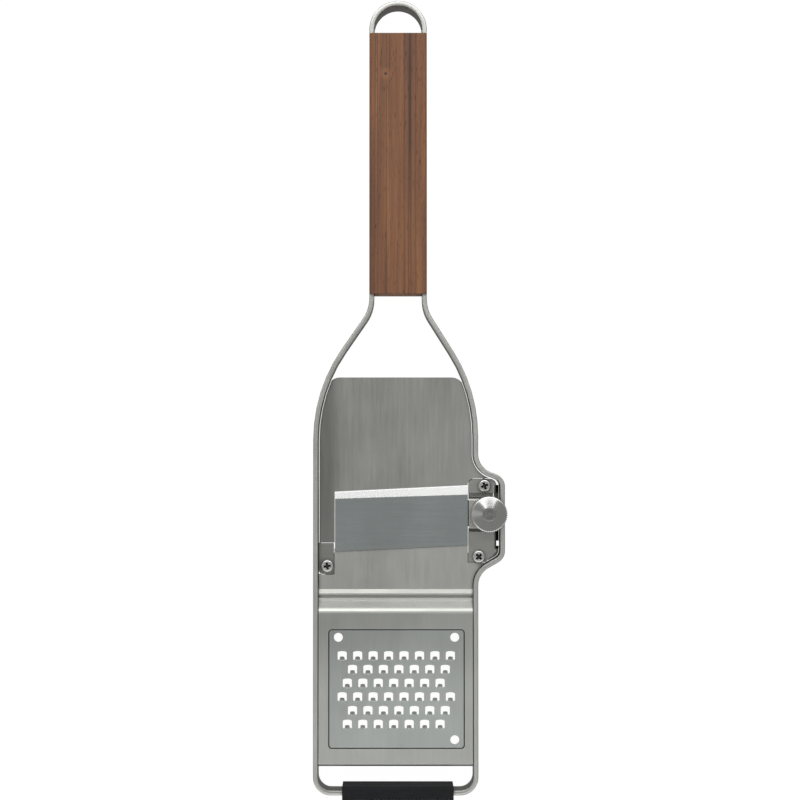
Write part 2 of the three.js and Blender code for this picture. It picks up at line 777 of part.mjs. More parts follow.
// A crossbar behind the lower deck, a raised seat under the blade, and an arm with the knob's ear.
function bladeCarrier() {
  const crossbarLowY = leftScrewY - crossbarBelow;
  const armHighY = upperTabHighY;
  const armOutline = sheetOutline([
    { x: armHighY, y: carrierTop },
    { x: earHighY, y: carrierTop, r: creaseRadius },
    { x: earHighY, y: earTop, r: bendRadius },
    { x: earLowY, y: earTop, r: bendRadius },
    { x: earLowY, y: carrierTop, r: creaseRadius },
    { x: crossbarLowY, y: carrierTop },
  ]);
  const ear = block(earLeft, bumpInside, earLowY, earHighY, 0, bandFront);
  const arm = join(
    alongX(armOutline, earLeft, armRight),
    alongX(armOutline, earLeft, bumpInside).intersect(ear),
  );
  const crossbar = block(
    leftTabLeft + sheet + crossbarSpace,
    armRight,
    crossbarLowY,
    crossbarLowY + crossbarLength,
    carrierUnder,
    carrierTop,
  );
  const seatBackY = bladeBackY + seatLap + 2 * restGap;
  const seatTop = bladeUnder - bladeLift;
  const seatPoints = sheetOutline([
    { x: seatBackY + seatLength, y: seatTop },
    { x: seatBackY, y: seatTop, r: bendRadius },
    { x: seatBackY, y: carrierTop, r: creaseRadius },
    { x: leftScrewY, y: carrierTop },
  ]);
  const seat = alongBlade(seatPoints, bladeLeft + seatInset, bladeRight - seatInset, bladeSkew);
  const guideRadius = sleeveRadius + slideGap;
  const guideHoles = screwPlaces.map(({ x, y }) => post(x, y, guideRadius, 0, bandFront));
  const left = screwPlaces[2];
  const fork = block(-railX, left.x, left.y - guideRadius, left.y + guideRadius, 0, bandFront);
  const rodHole = post(knobX, knobY, studRadius + restGap, 0, bandFront);
  const clear = spaceInside(sideGap + sheet + restGap);
  return cut(join(arm, crossbar, seat), ...guideHoles, fork, rodHole).intersect(clear);
}

addPart("blade_carrier", bladeCarrier(), brushedSteel);

// ---------------------------------------------------------------- brackets

const screwHole = ({ x, y }) => post(x, y, screwRadius + boreGap, 0, bandFront);

// Two tabs at deck height, one flange behind them, a rear leg that holds the stud nut, and lips towards
// the band.
function sideBracket() {
  const tabLeft = earLeft - restGap;
  const flangeRight = tabRight + sheet;
  const bendLeft = flangeRight - bendRadius;
  const flangeLowY = lowerTabLowY + lowerTabCut + tabCornerRadius;
  const flangeHighY = upperTabHighY - tabRadius;
  const rearUnder = rearLegTop - sheet;
  const upper = roundedPoints([
    { x: tabLeft, y: upperTabLowY },
    { x: flangeRight, y: upperTabLowY },
    { x: flangeRight, y: upperTabHighY, r: tabRadius },
    { x: tabLeft, y: upperTabHighY, r: tabRadius },
  ]);
  const lower = roundedPoints([
    { x: tabLeft, y: lowerTabLowY },
    { x: flangeRight - lowerTabCut, y: lowerTabLowY },
    { x: flangeRight, y: lowerTabLowY + lowerTabCut, r: tabCornerRadius },
    { x: flangeRight, y: lowerTabHighY },
    { x: tabLeft, y: lowerTabHighY },
  ]);
  const tabs = cut(
    join(slab(upper, deckUnder, deckTop), slab(lower, deckUnder, deckTop)),
    block(bendLeft, bumpX, flangeLowY, flangeHighY, 0, bandFront),
  );
  const bend = sheetOutline([
    { x: flangeRight, y: rearUnder },
    { x: flangeRight, y: deckTop, r: bendRadius },
    { x: bendLeft - sheet, y: deckTop },
  ]);
  const flange = cut(
    alongY(bend, flangeLowY, flangeHighY),
    block(bendLeft - sheet, bumpX, lowerTabHighY, upperTabLowY, rearLegTop, bandFront),
  );
  const leg = block(
    flangeRight - rearLegLength + sheet,
    flangeRight,
    knobY - studNutAcrossFlats / 2 - rearLegSpace,
    knobY + studNutAcrossFlats / 2 + rearLegSpace,
    rearUnder,
    rearLegTop,
  );
  const lipTurn = bumpInside - flangeRight;
  const lipOutline = sheetOutline([
    { x: bumpInside, y: rearLegTop + lipTurn },
    { x: flangeRight, y: rearLegTop },
    { x: tabRight, y: rearLegTop },
  ]);
  const lips = join(
    alongY(lipOutline, flangeHighY - upperLipHeight, flangeHighY),
    alongY(lipOutline, flangeLowY, flangeHighY - upperLipHeight - lipSpace),
  );
  const lowLip = block(
    flangeRight - lowerTabCut + bendRadius,
    bumpX,
    lowerTabLowY,
    flangeLowY + sheet,
    rearUnder,
    rearLegTop,
  );
  const rodHole = post(knobX, knobY, studRadius + restGap, 0, rearLegTop + sheet);
  const nutRoom = post(knobX, knobY, studNutAcrossFlats / Math.sqrt(3) + restGap, rearLegTop, bandFront);
  const holes = [screwHole(screwPlaces[0]), screwHole(screwPlaces[1]), rodHole, nutRoom];
  return cut(join(tabs, flange, leg, lips, lowLip), ...holes).intersect(spaceInside(restGap));
}

addPart("side_bracket", sideBracket(), brushedSteel);

// One tab beside the blade's lower left corner, with a flange along the rail.
function leftBracket() {
  const tab = slab(
    roundedPoints([
      { x: leftTabLeft, y: leftTabLowY, r: leftTabRadius },
      { x: leftTabRight, y: leftTabLowY, r: leftTabRadius },
      { x: leftTabRight, y: leftTabHighY },
      { x: leftTabLeft, y: leftTabHighY },
    ]),
    deckUnder,
    deckTop,
  );
  const flange = block(
    leftTabLeft,
    leftTabLeft + sheet,
    leftTabLowY + leftTabRadius,
    leftTabHighY,
    nutTop + restGap,
    deckTop,
  );
  return cut(join(tab, flange), screwHole(screwPlaces[2]));
}

addPart("left_bracket", leftBracket(), brushedSteel);

// ---------------------------------------------------------------- guide screws, sleeves and lock nuts

function guideScrew({ x, y, turn }) {
  const headUnder = deckTop + boreGap;
  const tail = nutTop - nutHeight - screwTailLength;
  const body = turned(
    [
      [0, tail],
      [screwRadius - endChamfer, tail],
      [screwRadius, tail + endChamfer],
      [screwRadius, headUnder],
      [screwHeadRadius, headUnder],
      [screwHeadRadius, headUnder + screwHeadHeight * screwRimShare],
      [screwBrowRadius, headUnder + screwHeadHeight * screwBrowShare],
      [screwCrownRadius, headUnder + screwHeadHeight],
      [0, headUnder + screwHeadHeight],
    ],
    x,
    y,
    24,
  );
  const slot = (angle) => {
    const bar = extruded(
      rectangle(-recessLength / 2, recessLength / 2, -recessWidth / 2, recessWidth / 2),
      screwHeadHeight,
    );
    bar.rotateZ(THREE.MathUtils.degToRad(angle));
    return solidOf(bar.translate(x, y, headUnder + screwHeadHeight - recessDepth));
  };
  return cut(body, slot(turn), slot(turn + 90));
}

screwPlaces.forEach((place) => {
  const { name, x, y } = place;
  const bore = circle(x, y, screwRadius + boreGap);
  const sleeve = slab(circle(x, y, sleeveRadius), sleeveUnder, sleeveTop, [bore]);
  const lockNut = slab(hexagon(x, y, nutAcrossFlats), nutTop - nutHeight, nutTop, [bore]);
  addPart(name + "_screw", guideScrew(place), turnedSteel);
  addPart(name + "_sleeve", sleeve, turnedSteel);
  addPart(name + "_lock_nut", lockNut, turnedSteel);
});

// ---------------------------------------------------------------- thumb knob and its stud

const washerUnder = earTop + restGap;
const knobUnder = washerUnder + washerHeight + restGap;
const rimUnder = knobUnder + knobHubHeight;
const rimTop = rimUnder + knobRimHeight;
const studTop = rimUnder + studInKnob;
const clipTop = earUnder - restGap;
const clipUnder = clipTop - clipHeight;
const studNutUnder = rearLegTop + boreGap;

// A straight-knurled rim with a shallow cone in front and a hub behind, bored for the stud.
function thumbKnob() {
  const knurl = Array.from({ length: 2 * knurlCount }, (_, i) => {
    const radius = i % 2 ? knobRadius - knurlDepth : knobRadius;
    const angle = (Math.PI * i) / knurlCount;
    return new THREE.Vector2(knobX + radius * Math.cos(angle), knobY + radius * Math.sin(angle));
  });
  const rim = slab(knurl, rimUnder, rimTop);
  const faceRadius = knobRadius - knurlDepth - knurlRelief;
  const cone = turned(
    [
      [0, rimTop - knobLap],
      [faceRadius, rimTop - knobLap],
      [faceRadius, rimTop],
      [knobFlatRadius, rimTop + knobConeHeight],
      [0, rimTop + knobConeHeight],
    ],
    knobX,
    knobY,
    knurlCount,
  );
  const hub = post(knobX, knobY, knobHubRadius, knobUnder, rimUnder + knobLap, 32);
  const bore = post(knobX, knobY, studRadius + boreGap, 0, studTop + restGap);
  return cut(join(rim, cone, hub), bore);
}

addPart("thumb_knob", thumbKnob(), turnedSteel);

addPart(
  "adjusting_stud",
  turned(
    [
      [0, studNutUnder - studTail],
      [studRadius - endChamfer, studNutUnder - studTail],
      [studRadius, studNutUnder - studTail + endChamfer],
      [studRadius, clipUnder - clipPlay],
      [studGrooveRadius, clipUnder - clipPlay],
      [studGrooveRadius, clipTop + clipPlay],
      [studRadius, clipTop + clipPlay],
      [studRadius, studTop],
      [0, studTop],
    ],
    knobX,
    knobY,
    24,
  ),
  turnedSteel,
);

addPart(
  "knob_washer",
  slab(circle(knobX, knobY, washerRadius, 32), washerUnder, washerUnder + washerHeight, [
    circle(knobX, knobY, studRadius + boreGap),
  ]),
  turnedSteel,
);

const clipRing = slab(circle(knobX, knobY, clipRadius), clipUnder, clipTop, [
  circle(knobX, knobY, studGrooveRadius + boreGap),
]);
const clipLeft = knobX - clipMouth / 2;
const clipOpening = block(clipLeft, clipLeft + clipMouth, knobY - 2 * clipRadius, knobY, 0, bandFront);
addPart("retaining_clip", cut(clipRing, clipOpening), turnedSteel);

addPart(
  "stud_nut",
  slab(hexagon(knobX, knobY, studNutAcrossFlats), studNutUnder, studNutUnder + studNutHeight, [
    circle(knobX, knobY, studRadius + boreGap),
  ]),
  turnedSteel,
);

// ---------------------------------------------------------------- origin under the middle of the box

const extent = new THREE.Box3().setFromObject(paddle);
const middle = extent.getCenter(new THREE.Vector3());
paddle.position.set(-middle.x, -middle.y, -extent.min.z);

export default paddle;
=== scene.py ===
"""Looks of a hand grater and slicer paddle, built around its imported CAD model.

Metres, in the row frame: +X to the right, +Y towards the hanging loop, +Z out of the working side.
"""

import math

import bmesh
import bpy
from mathutils import Matrix, Vector


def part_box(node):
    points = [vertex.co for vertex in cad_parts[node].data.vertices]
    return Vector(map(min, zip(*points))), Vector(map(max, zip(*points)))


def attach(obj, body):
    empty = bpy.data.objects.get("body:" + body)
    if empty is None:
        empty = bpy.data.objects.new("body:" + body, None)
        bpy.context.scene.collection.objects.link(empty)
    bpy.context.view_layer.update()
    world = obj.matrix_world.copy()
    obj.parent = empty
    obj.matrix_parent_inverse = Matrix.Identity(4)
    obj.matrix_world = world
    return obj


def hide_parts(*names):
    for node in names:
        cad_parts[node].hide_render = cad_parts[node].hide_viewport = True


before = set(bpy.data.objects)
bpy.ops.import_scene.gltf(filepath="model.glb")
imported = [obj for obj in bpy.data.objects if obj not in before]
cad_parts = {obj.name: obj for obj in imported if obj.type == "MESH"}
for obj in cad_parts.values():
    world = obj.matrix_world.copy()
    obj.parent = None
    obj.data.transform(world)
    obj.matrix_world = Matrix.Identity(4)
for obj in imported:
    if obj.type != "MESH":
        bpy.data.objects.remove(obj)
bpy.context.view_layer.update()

MM = 0.001
PAINTED_SHADE_REACH = 2.5 * MM  # how near a neighbour has to be for painted shade to darken a surface
PAINTED_SHADE_SHARE = 0.35  # of the colour that is left under painted shade in the tightest gap


# ---------------------------------------------------------------- node graphs


def new_material(name):
    """A material and its node tree, with a Principled shader in it."""
    material = bpy.data.materials.new(name)
    material.use_nodes = True
    return material, material.node_tree


def add(tree, kind, inputs=None, **settings):
    """A new node, with its settings, and its inputs as sockets or plain values."""
    node = tree.nodes.new(kind)
    for key, value in settings.items():
        setattr(node, key, value)
    for key, value in (inputs or {}).items():
        if isinstance(value, bpy.types.NodeSocket):
            tree.links.new(value, node.inputs[key])
        else:
            node.inputs[key].default_value = value
    return node


def place(tree, scale, uv=False):
    """The place on the object in metres, or along its UV map, with each direction scaled."""
    source = add(tree, "ShaderNodeTexCoord").outputs["UV" if uv else "Object"]
    mapping = add(tree, "ShaderNodeMapping", {"Vector": source, "Scale": scale})
    return mapping.outputs["Vector"]


def noise(tree, vector, detail=2.0, roughness=0.5, distortion=0.0):
    """A noise value between 0 and 1; vector sets how many features there are per metre."""
    inputs = {
        "Vector": vector,
        "Scale": 1.0,
        "Detail": detail,
        "Roughness": roughness,
        "Distortion": distortion,
    }
    return add(tree, "ShaderNodeTexNoise", inputs).outputs["Fac"]


def ranged(tree, value, low, high, start=0.3, end=0.7):
    """A value between start and end taken to one between low and high."""
    inputs = {
        "Value": value,
        "From Min": start,
        "From Max": end,
        "To Min": low,
        "To Max": high,
    }
    return add(tree, "ShaderNodeMapRange", inputs).outputs["Result"]


def summed(tree, *values):
    """The sum of several values."""
    total = values[0]
    for value in values[1:]:
        total = add(tree, "ShaderNodeMath", {0: total, 1: value}, operation="ADD").outputs[0]
    return total


def product(tree, first, second):
    """One value times another."""
    return add(tree, "ShaderNodeMath", {0: first, 1: second}, operation="MULTIPLY").outputs[0]


def near(tree, value, target, within):
    """1 where a value is near a target, and 0 elsewhere."""
    inputs = {0: value, 1: target, 2: within}
    return add(tree, "ShaderNodeMath", inputs, operation="COMPARE").outputs[0]


def vector_math(tree, operation, *vectors, output=0):
    """The result of a vector operation."""
    node = add(tree, "ShaderNodeVectorMath", dict(enumerate(vectors)), operation=operation)
    return node.outputs[output]


def mixed(tree, factor, first, second, blend="MIX"):
    """Two colours mixed by a factor. Sockets 6 and 7 and output 2 are the node's colours."""
    inputs = {0: factor, 6: first, 7: second}
    return add(tree, "ShaderNodeMix", inputs, data_type="RGBA", blend_type=blend).outputs[2]


def finish_surface(tree, color, roughness, height, depth, metallic=0.0, **sockets):
    """Sets the Principled shader's colour, roughness and bump, and its constant sockets."""
    shader = tree.nodes["Principled BSDF"]
    shader.inputs["Metallic"].default_value = metallic
    for name, value in sockets.items():
        shader.inputs[name.replace("_", " ")].default_value = value
    tree.links.new(color, shader.inputs["Base Color"])
    tree.links.new(roughness, shader.inputs["Roughness"])
    bump = add(tree, "ShaderNodeBump", {"Height": height, "Strength": 1.0, "Distance": depth})
    tree.links.new(bump.outputs["Normal"], shader.inputs["Normal"])
    return shader


def with_painted_crevice_shade(tree, color):
    """A colour darkened by painted shade, taken from ambient occlusion, in gaps, bends and corners.
    """
    painted_shade_occlusion = add(tree, "ShaderNodeAmbientOcclusion", {"Distance": PAINTED_SHADE_REACH}, samples=6)
    share = ranged(tree, painted_shade_occlusion.outputs["AO"], PAINTED_SHADE_SHARE, 1.0, 0.15, 0.8)
    return mixed(tree, 1.0, color, share, "MULTIPLY")


def grey(level, tint=(1.0, 0.98)):
    """A grey colour, with its red and blue as shares of its green."""
    red, blue = tint
    return (level * red, level, level * blue, 1.0)


def painted_shade_along(tree, color, axis, start, end, share):
    """A colour darkened by painted shade by a share at one place along an axis, and whole at
    another.
    """
    source = add(tree, "ShaderNodeTexCoord").outputs["Object"]
    along = add(tree, "ShaderNodeSeparateXYZ", {0: source}).outputs[axis]
    inputs = {
        "Value": along,
        "From Min": start,
        "From Max": end,
        "To Min": share,
        "To Max": 1.0,
    }
    ramp = add(tree, "ShaderNodeMapRange", inputs, interpolation_type="SMOOTHSTEP")
    return mixed(tree, 1.0, color, ramp.outputs["Result"], "MULTIPLY")


# ---------------------------------------------------------------- materials


def brushed_steel(name, level, tint, rough, contrast, axis="Y", painted_shade=None, depth=1.2e-6):
    """Steel brushed along one axis of the object, or along its UV map.

    The painted-shade argument is (axis, start, end, share), for painted shade that darkens a sheet
    towards one side.
    """
    material, tree = new_material(name)
    uv = axis == "UV"
    along = Vector((0, 1, 0)) if axis == "Y" else Vector((1, 0, 0))

    def stretched(across, length):
        """A place for noise with so many features per metre across the brushing and along it."""
        scale = [across + (length - across) * share for share in along]
        return place(tree, scale, uv)

    hairlines = noise(tree, stretched(9000, 120), 2, 0.6)
    streaks = noise(tree, stretched(1300, 45), 3, 0.6)
    bands = noise(tree, stretched(160, 3), 2, 0.5)
    clouds = noise(tree, place(tree, (45, 30, 45)), 3, 0.55)
    tone = summed(
        tree,
        ranged(tree, hairlines, -contrast * 0.5, contrast * 0.5),
        ranged(tree, streaks, -contrast, contrast),
        ranged(tree, bands, -contrast * 0.2, contrast * 0.2),
        ranged(tree, clouds, -contrast * 0.7, contrast * 0.7),
        0.5,
    )
    color = mixed(tree, tone, grey(level * 0.55, tint), grey(min(level * 1.45, 0.98), tint))
    roughness = summed(
        tree,
        ranged(tree, streaks, -0.03, 0.03),
        ranged(tree, clouds, -0.04, 0.05),
        rough,
    )
    # painted shade: the colour darkens towards one side of the sheet
    if painted_shade:
        color = painted_shade_along(tree, color, *painted_shade)
    # painted shade: darker in gaps, bends and corners
    color = with_painted_crevice_shade(tree, color)
    stretch = 0.3 if uv else 0.45
    shader = finish_surface(tree, color, roughness, hairlines, depth, 1.0, Anisotropic=stretch)
    if uv:
        tangent = add(tree, "ShaderNodeTangent", direction_type="UV_MAP").outputs[0]
    else:
        tangent = add(tree, "ShaderNodeCombineXYZ", dict(zip("XYZ", along))).outputs[0]
    tree.links.new(tangent, shader.inputs["Tangent"])
    return material


def mill_steel(name, level, rough):
    """The darker, finely pitted finish on the wide faces of the band."""
    material, tree = new_material(name)
    pits = noise(tree, place(tree, (1800, 1800, 1800)), 3, 0.7)
    blotches = noise(tree, place(tree, (300, 300, 300)), 2, 0.5)
    tone = summed(
        tree,
        ranged(tree, pits, -0.35, 0.35),
        ranged(tree, blotches, -0.08, 0.08),
        0.5,
    )
    color = mixed(tree, tone, grey(level * 0.4), grey(level * 1.6))
    roughness = ranged(tree, pits, rough - 0.08, rough + 0.1)
    # painted shade: darker in gaps, bends and corners
    finish_surface(tree, with_painted_crevice_shade(tree, color), roughness, pits, 1.5e-5, 1.0)
    return material


def turned_steel(name, level, rough, centre, ring_pitch=0.12 * MM):
    """Steel with fine turning marks round an upright axis through a centre."""
    material, tree = new_material(name)
    source = add(tree, "ShaderNodeTexCoord").outputs["Object"]
    local = vector_math(tree, "SUBTRACT", source, (*centre, 0.0))
    flat = vector_math(tree, "MULTIPLY", local, (1.0, 1.0, 0.0))
    radius = vector_math(tree, "LENGTH", flat, output="Value")
    rings = add(
        tree,
        "ShaderNodeTexNoise",
        {"W": product(tree, radius, 1 / ring_pitch), "Scale": 1.0, "Detail": 2.0},
        noise_dimensions="1D",
    ).outputs["Fac"]
    specks = noise(tree, place(tree, (2500, 2500, 2500)), 2, 0.6)
    tone = summed(
        tree,
        ranged(tree, rings, -0.18, 0.18),
        ranged(tree, specks, -0.12, 0.12),
        0.5,
    )
    color = mixed(tree, tone, grey(level * 0.6), grey(min(level * 1.4, 0.98)))
    roughness = summed(tree, ranged(tree, rings, -0.06, 0.06), rough)
    shader = finish_surface(tree, color, roughness, rings, 2e-6, 1.0, Anisotropic=0.35)
    tangent = add(tree, "ShaderNodeTangent", direction_type="RADIAL", axis="Z").outputs[0]
    tree.links.new(tangent, shader.inputs["Tangent"])
    return material


def walnut_wood(knot):
    """Oiled walnut: tone bands, growth lines, fibres and pores along Y, and one small knot."""
    material, tree = new_material("oiled_walnut")
    bands = noise(tree, place(tree, (150, 4, 150)), 3, 0.6, 0.4)
    figure = noise(tree, place(tree, (420, 9, 420)), 4, 0.6, 0.3)
    fibres = noise(tree, place(tree, (4200, 70, 4200)), 3, 0.6)
    growth = noise(tree, place(tree, (230, 1.3, 60)), 1, 0.45, 0.1)
    on_line = near(tree, growth, 0.5, 0.009)
    beside_line = near(tree, growth, 0.515, 0.03)
    pores = noise(tree, place(tree, (3000, 260, 3000)), 1, 0.5)
    clouds = noise(tree, place(tree, (60, 22, 60)), 2, 0.5)

    light = (0.355, 0.148, 0.062, 1.0)
    middle = (0.225, 0.091, 0.041, 1.0)
    dark = (0.105, 0.045, 0.029, 1.0)
    darkest = (0.055, 0.027, 0.019, 1.0)
    warm = (0.46, 0.20, 0.08, 1.0)
    base = mixed(tree, ranged(tree, bands, 0.0, 1.0, 0.36, 0.62), middle, light)
    figured = mixed(tree, ranged(tree, figure, 0.75, 0.0, 0.34, 0.56), base, dark)
    banked = mixed(tree, product(tree, beside_line, 0.3), figured, dark)
    lined = mixed(tree, product(tree, on_line, 0.85), banked, darkest)
    thin, thick = (0.72, 0.70, 0.68, 1.0), (1.28, 1.27, 1.25, 1.0)
    fibre_tone = mixed(tree, ranged(tree, fibres, 0.0, 1.0), thin, thick)
    fibred = mixed(tree, 0.55, lined, fibre_tone, "MULTIPLY")
    pored = mixed(tree, ranged(tree, pores, 0.7, 0.0, 0.27, 0.34), fibred, darkest)
    warmed = mixed(tree, ranged(tree, clouds, 0.0, 0.22), pored, warm)
    source = add(tree, "ShaderNodeTexCoord").outputs["Object"]
    from_knot = vector_math(tree, "DISTANCE", source, knot, output="Value")
    wavering = summed(tree, from_knot, ranged(tree, figure, -0.4 * MM, 0.4 * MM))
    around_knot = ranged(tree, wavering, 0.4, 0.0, 1.0 * MM, 3.2 * MM)
    in_knot = ranged(tree, wavering, 0.9, 0.0, 0.3 * MM, 0.9 * MM)
    ringed = mixed(tree, around_knot, warmed, warm)
    knotted = mixed(tree, in_knot, ringed, darkest)
    roughness = summed(
        tree,
        ranged(tree, fibres, -0.05, 0.06),
        ranged(tree, pores, 0.2, 0.0, 0.30, 0.38),
        0.5,
    )
    pits = ranged(tree, pores, 0.0, 1.0, 0.28, 0.38)
    height = summed(tree, product(tree, fibres, 0.5), pits)
    finish_surface(tree, knotted, roughness, height, 3e-5)
    return material


def moulded_rubber():
    """Matt black rubber with a fine moulded grain and faint scuffs."""
    material, tree = new_material("moulded_rubber")
    grain = noise(tree, place(tree, (2600, 2600, 2600)), 3, 0.6)
    scuffs = noise(tree, place(tree, (120, 420, 420)), 3, 0.6)
    tone = summed(tree, ranged(tree, grain, -0.2, 0.2), ranged(tree, scuffs, -0.3, 0.3), 0.5)
    color = mixed(tree, tone, (0.006, 0.0065, 0.007, 1), (0.022, 0.023, 0.026, 1))
    roughness = summed(tree, ranged(tree, scuffs, -0.08, 0.08), 0.56)
    finish_surface(tree, color, roughness, grain, 4e-5, Specular_IOR_Level=0.22)
    return material


def tinted_nylon():
    """The blue-grey nylon ring in a lock nut."""
    material, tree = new_material("nylon_ring")
    grain = noise(tree, place(tree, (1500, 1500, 1500)), 2, 0.5)
    dark, light = (0.30, 0.33, 0.36, 1), (0.42, 0.45, 0.48, 1)
    color = mixed(tree, ranged(tree, grain, 0.0, 1.0), dark, light)
    roughness = ranged(tree, grain, 0.4, 0.5)
    finish_surface(tree, color, roughness, grain, 1e-5)
    return material


deck_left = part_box("feed_deck")[0].x
plate_low, plate_high = (corner.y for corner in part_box("grater_plate"))
# Painted shade: the feed deck is darker along its left side.
DECK_PAINTED_SHADE = ("X", deck_left + 3 * MM, deck_left + 11 * MM, 0.6)
# Painted shade: the grater plate and grater blade are darker towards their top.
PLATE_PAINTED_SHADE = ("Y", plate_high - 4 * MM, (plate_high + plate_low) / 2 - 8 * MM, 0.74)
WARM, PLATE_TINT, BAND_TINT = (1.0, 0.95), (0.98, 0.95), (0.99, 0.95)
COOL, BLADE_TINT, BEVEL_TINT = (0.95, 0.96), (0.915, 1.0), (0.99, 0.99)
deck_steel = brushed_steel("deck_steel_brushed", 0.37, WARM, 0.36, 0.022, "Y", DECK_PAINTED_SHADE)
lower_steel = brushed_steel("lower_steel_brushed", 0.47, WARM, 0.36, 0.018)
plate_steel = brushed_steel("plate_steel_brushed", 0.55, PLATE_TINT, 0.36, 0.03, "Y", PLATE_PAINTED_SHADE)
ramp_steel = brushed_steel("ramp_steel_brushed", 0.60, WARM, 0.36, 0.04)
grater_steel = brushed_steel("grater_steel_etched", 0.56, COOL, 0.33, 0.02, "Y", PLATE_PAINTED_SHADE)
# Painted shade: the retainer, seen through the gap round the grater blade, is coloured near black
# so that the gap looks dark.
retainer_shade_steel = brushed_steel("retainer_steel_painted_shade", 0.16, WARM, 0.45, 0.04)
band_steel = brushed_steel("band_steel_brushed", 0.58, BAND_TINT, 0.34, 0.05, "UV")
band_side_steel = mill_steel("band_steel_side", 0.38, 0.45)
blade_steel = brushed_steel("blade_steel_fine", 0.56, BLADE_TINT, 0.26, 0.008, "X", depth=1e-7)
# The ground bevel: a real ground finish, and a near-white colour that is a painted highlight.
ground_bevel_highlight_steel = brushed_steel("blade_steel_ground_highlight", 0.93, BEVEL_TINT, 0.28, 0.01, depth=2e-7)
bracket_steel = brushed_steel("bracket_steel_brushed", 0.48, WARM, 0.38, 0.04, "X")
tab_steel = brushed_steel("tab_steel_brushed", 0.38, WARM, 0.38, 0.04, "X")
handle_low, handle_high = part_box("handle_front_scale")
knot = Vector((handle_low.x + 6.8 * MM, handle_high.y - 17 * MM, handle_high.z))
walnut = walnut_wood(knot)
rubber = moulded_rubber()
nylon = tinted_nylon()


# ---------------------------------------------------------------- pieces


def piece(name, shape, materials, body, slot, *nodes, sharp=30):
    """Makes an object of a bmesh, and lets it stand for some CAD nodes on a body."""
    mesh = bpy.data.meshes.new(name)
    bmesh.ops.recalc_face_normals(shape, faces=shape.faces)
    shape.to_mesh(mesh)
    shape.free()
    mesh.shade_smooth()
    mesh.set_sharp_from_angle(angle=math.radians(sharp))
    made = bpy.data.objects.new(name, mesh)
    bpy.context.scene.collection.objects.link(made)
    for material in materials if isinstance(materials, list) else [materials]:
        mesh.materials.append(material)
    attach(made, body)
    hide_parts(*nodes)
    return made


def scratch_object(shape):
    """A bmesh as an object for a short time."""
    mesh = bpy.data.meshes.new("scratch")
    shape.to_mesh(mesh)
    shape.free()
    holder = bpy.data.objects.new("scratch", mesh)
    bpy.context.scene.collection.objects.link(holder)
    return holder


def discard(holder):
    """Removes a scratch object and its mesh."""
    mesh = holder.data
    bpy.data.objects.remove(holder)
    bpy.data.meshes.remove(mesh)


def modified(shape, kind, **settings):
    """A bmesh after a modifier has been applied to it."""
    holder = scratch_object(shape)
    modifier = holder.modifiers.new(kind, kind)
    for key, value in settings.items():
        setattr(modifier, key, value)
    graph = bpy.context.evaluated_depsgraph_get()
    result = bmesh.new()
    result.from_object(holder, graph)
    discard(holder)
    return result


def carved(shape, cutters, **settings):
    """A bmesh with the closed cutters of another bmesh taken out of it."""
    bmesh.ops.recalc_face_normals(cutters, faces=cutters.faces)
    cutter = scratch_object(cutters)
    settings = {"operation": "DIFFERENCE", "object": cutter, "solver": "EXACT", **settings}
    result = modified(shape, "BOOLEAN", **settings)
    discard(cutter)
    return result


def cad_shape(node):
    """A CAD node's shape as a bmesh, with its flat faces whole."""
    shape = bmesh.new()
    shape.from_mesh(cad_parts[node].data)
    bmesh.ops.remove_doubles(shape, verts=shape.verts, dist=1e-6)
    bmesh.ops.dissolve_limit(
        shape,
        angle_limit=math.radians(0.5),
        verts=shape.verts,
        edges=shape.edges,
        use_dissolve_boundaries=False,
    )
    return shape


def softened(shape, width, segments=2, angle=35, **settings):
    """A bmesh with its edges rounded where they are sharper than an angle."""
    return modified(
        shape,
        "BEVEL",
        width=width,
        segments=segments,
        limit_method="ANGLE",
        angle_limit=math.radians(angle),
        **settings,
    )


def weighted(made):
    """Keeps a piece's large flat faces flat where they meet rounded edges."""
    modifier = made.modifiers.new("weighted", "WEIGHTED_NORMAL")
    modifier.keep_sharp = True
    graph = bpy.context.evaluated_depsgraph_get()
    mesh = bpy.data.meshes.new_from_object(made.evaluated_get(graph))
    made.modifiers.clear()
    old = made.data
    made.data = mesh
    bpy.data.meshes.remove(old)
    mesh.name = made.name


def refined(name, node, width, material, body, slot, segments=2):
    """A CAD node's shape with rounded edges."""
    shape = softened(cad_shape(node), width, segments)
    made = piece(name, shape, material, body, slot, node, sharp=40)
    weighted(made)
    return made


def middle(node):
    """The middle of a CAD node's box."""
    low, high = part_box(node)
    return (low + high) / 2


# ---------------------------------------------------------------- frame band

BAND_THICKNESS = 2 * MM
BAND_EASE = 0.3 * MM  # radius of the bar's edges


def outline_of(node):
    """The outline of an extruded CAD node's front face, counterclockwise, as 2-D points."""
    shape = cad_shape(node)
    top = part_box(node)[1].z - 0.01 * MM
    front = {f for f in shape.faces if f.normal.z > 0.9 and f.calc_center_median().z > top}
    edges = [e for e in shape.edges if sum(f in front for f in e.link_faces) == 1]
    links = {}
    for edge in edges:
        a, b = edge.verts
        links.setdefault(a, []).append(b)
        links.setdefault(b, []).append(a)
    loops = []
    while links:
        start = next(iter(links))
        loop = [start]
        before, here = None, start
        while True:
            after = next((v for v in links[here] if v != before), start)
            if after == start:
                break
            loop.append(after)
            before, here = here, after
        for vertex in loop:
            links.pop(vertex)
        loops.append([vertex.co.xy.copy() for vertex in loop])
    shape.free()

    def area(points):
        pairs = zip(points, points[1:] + points[:1])
        return sum(a.x * b.y - b.x * a.y for a, b in pairs) / 2

    outer = max(loops, key=lambda points: abs(area(points)))
    return outer if area(outer) > 0 else outer[::-1]


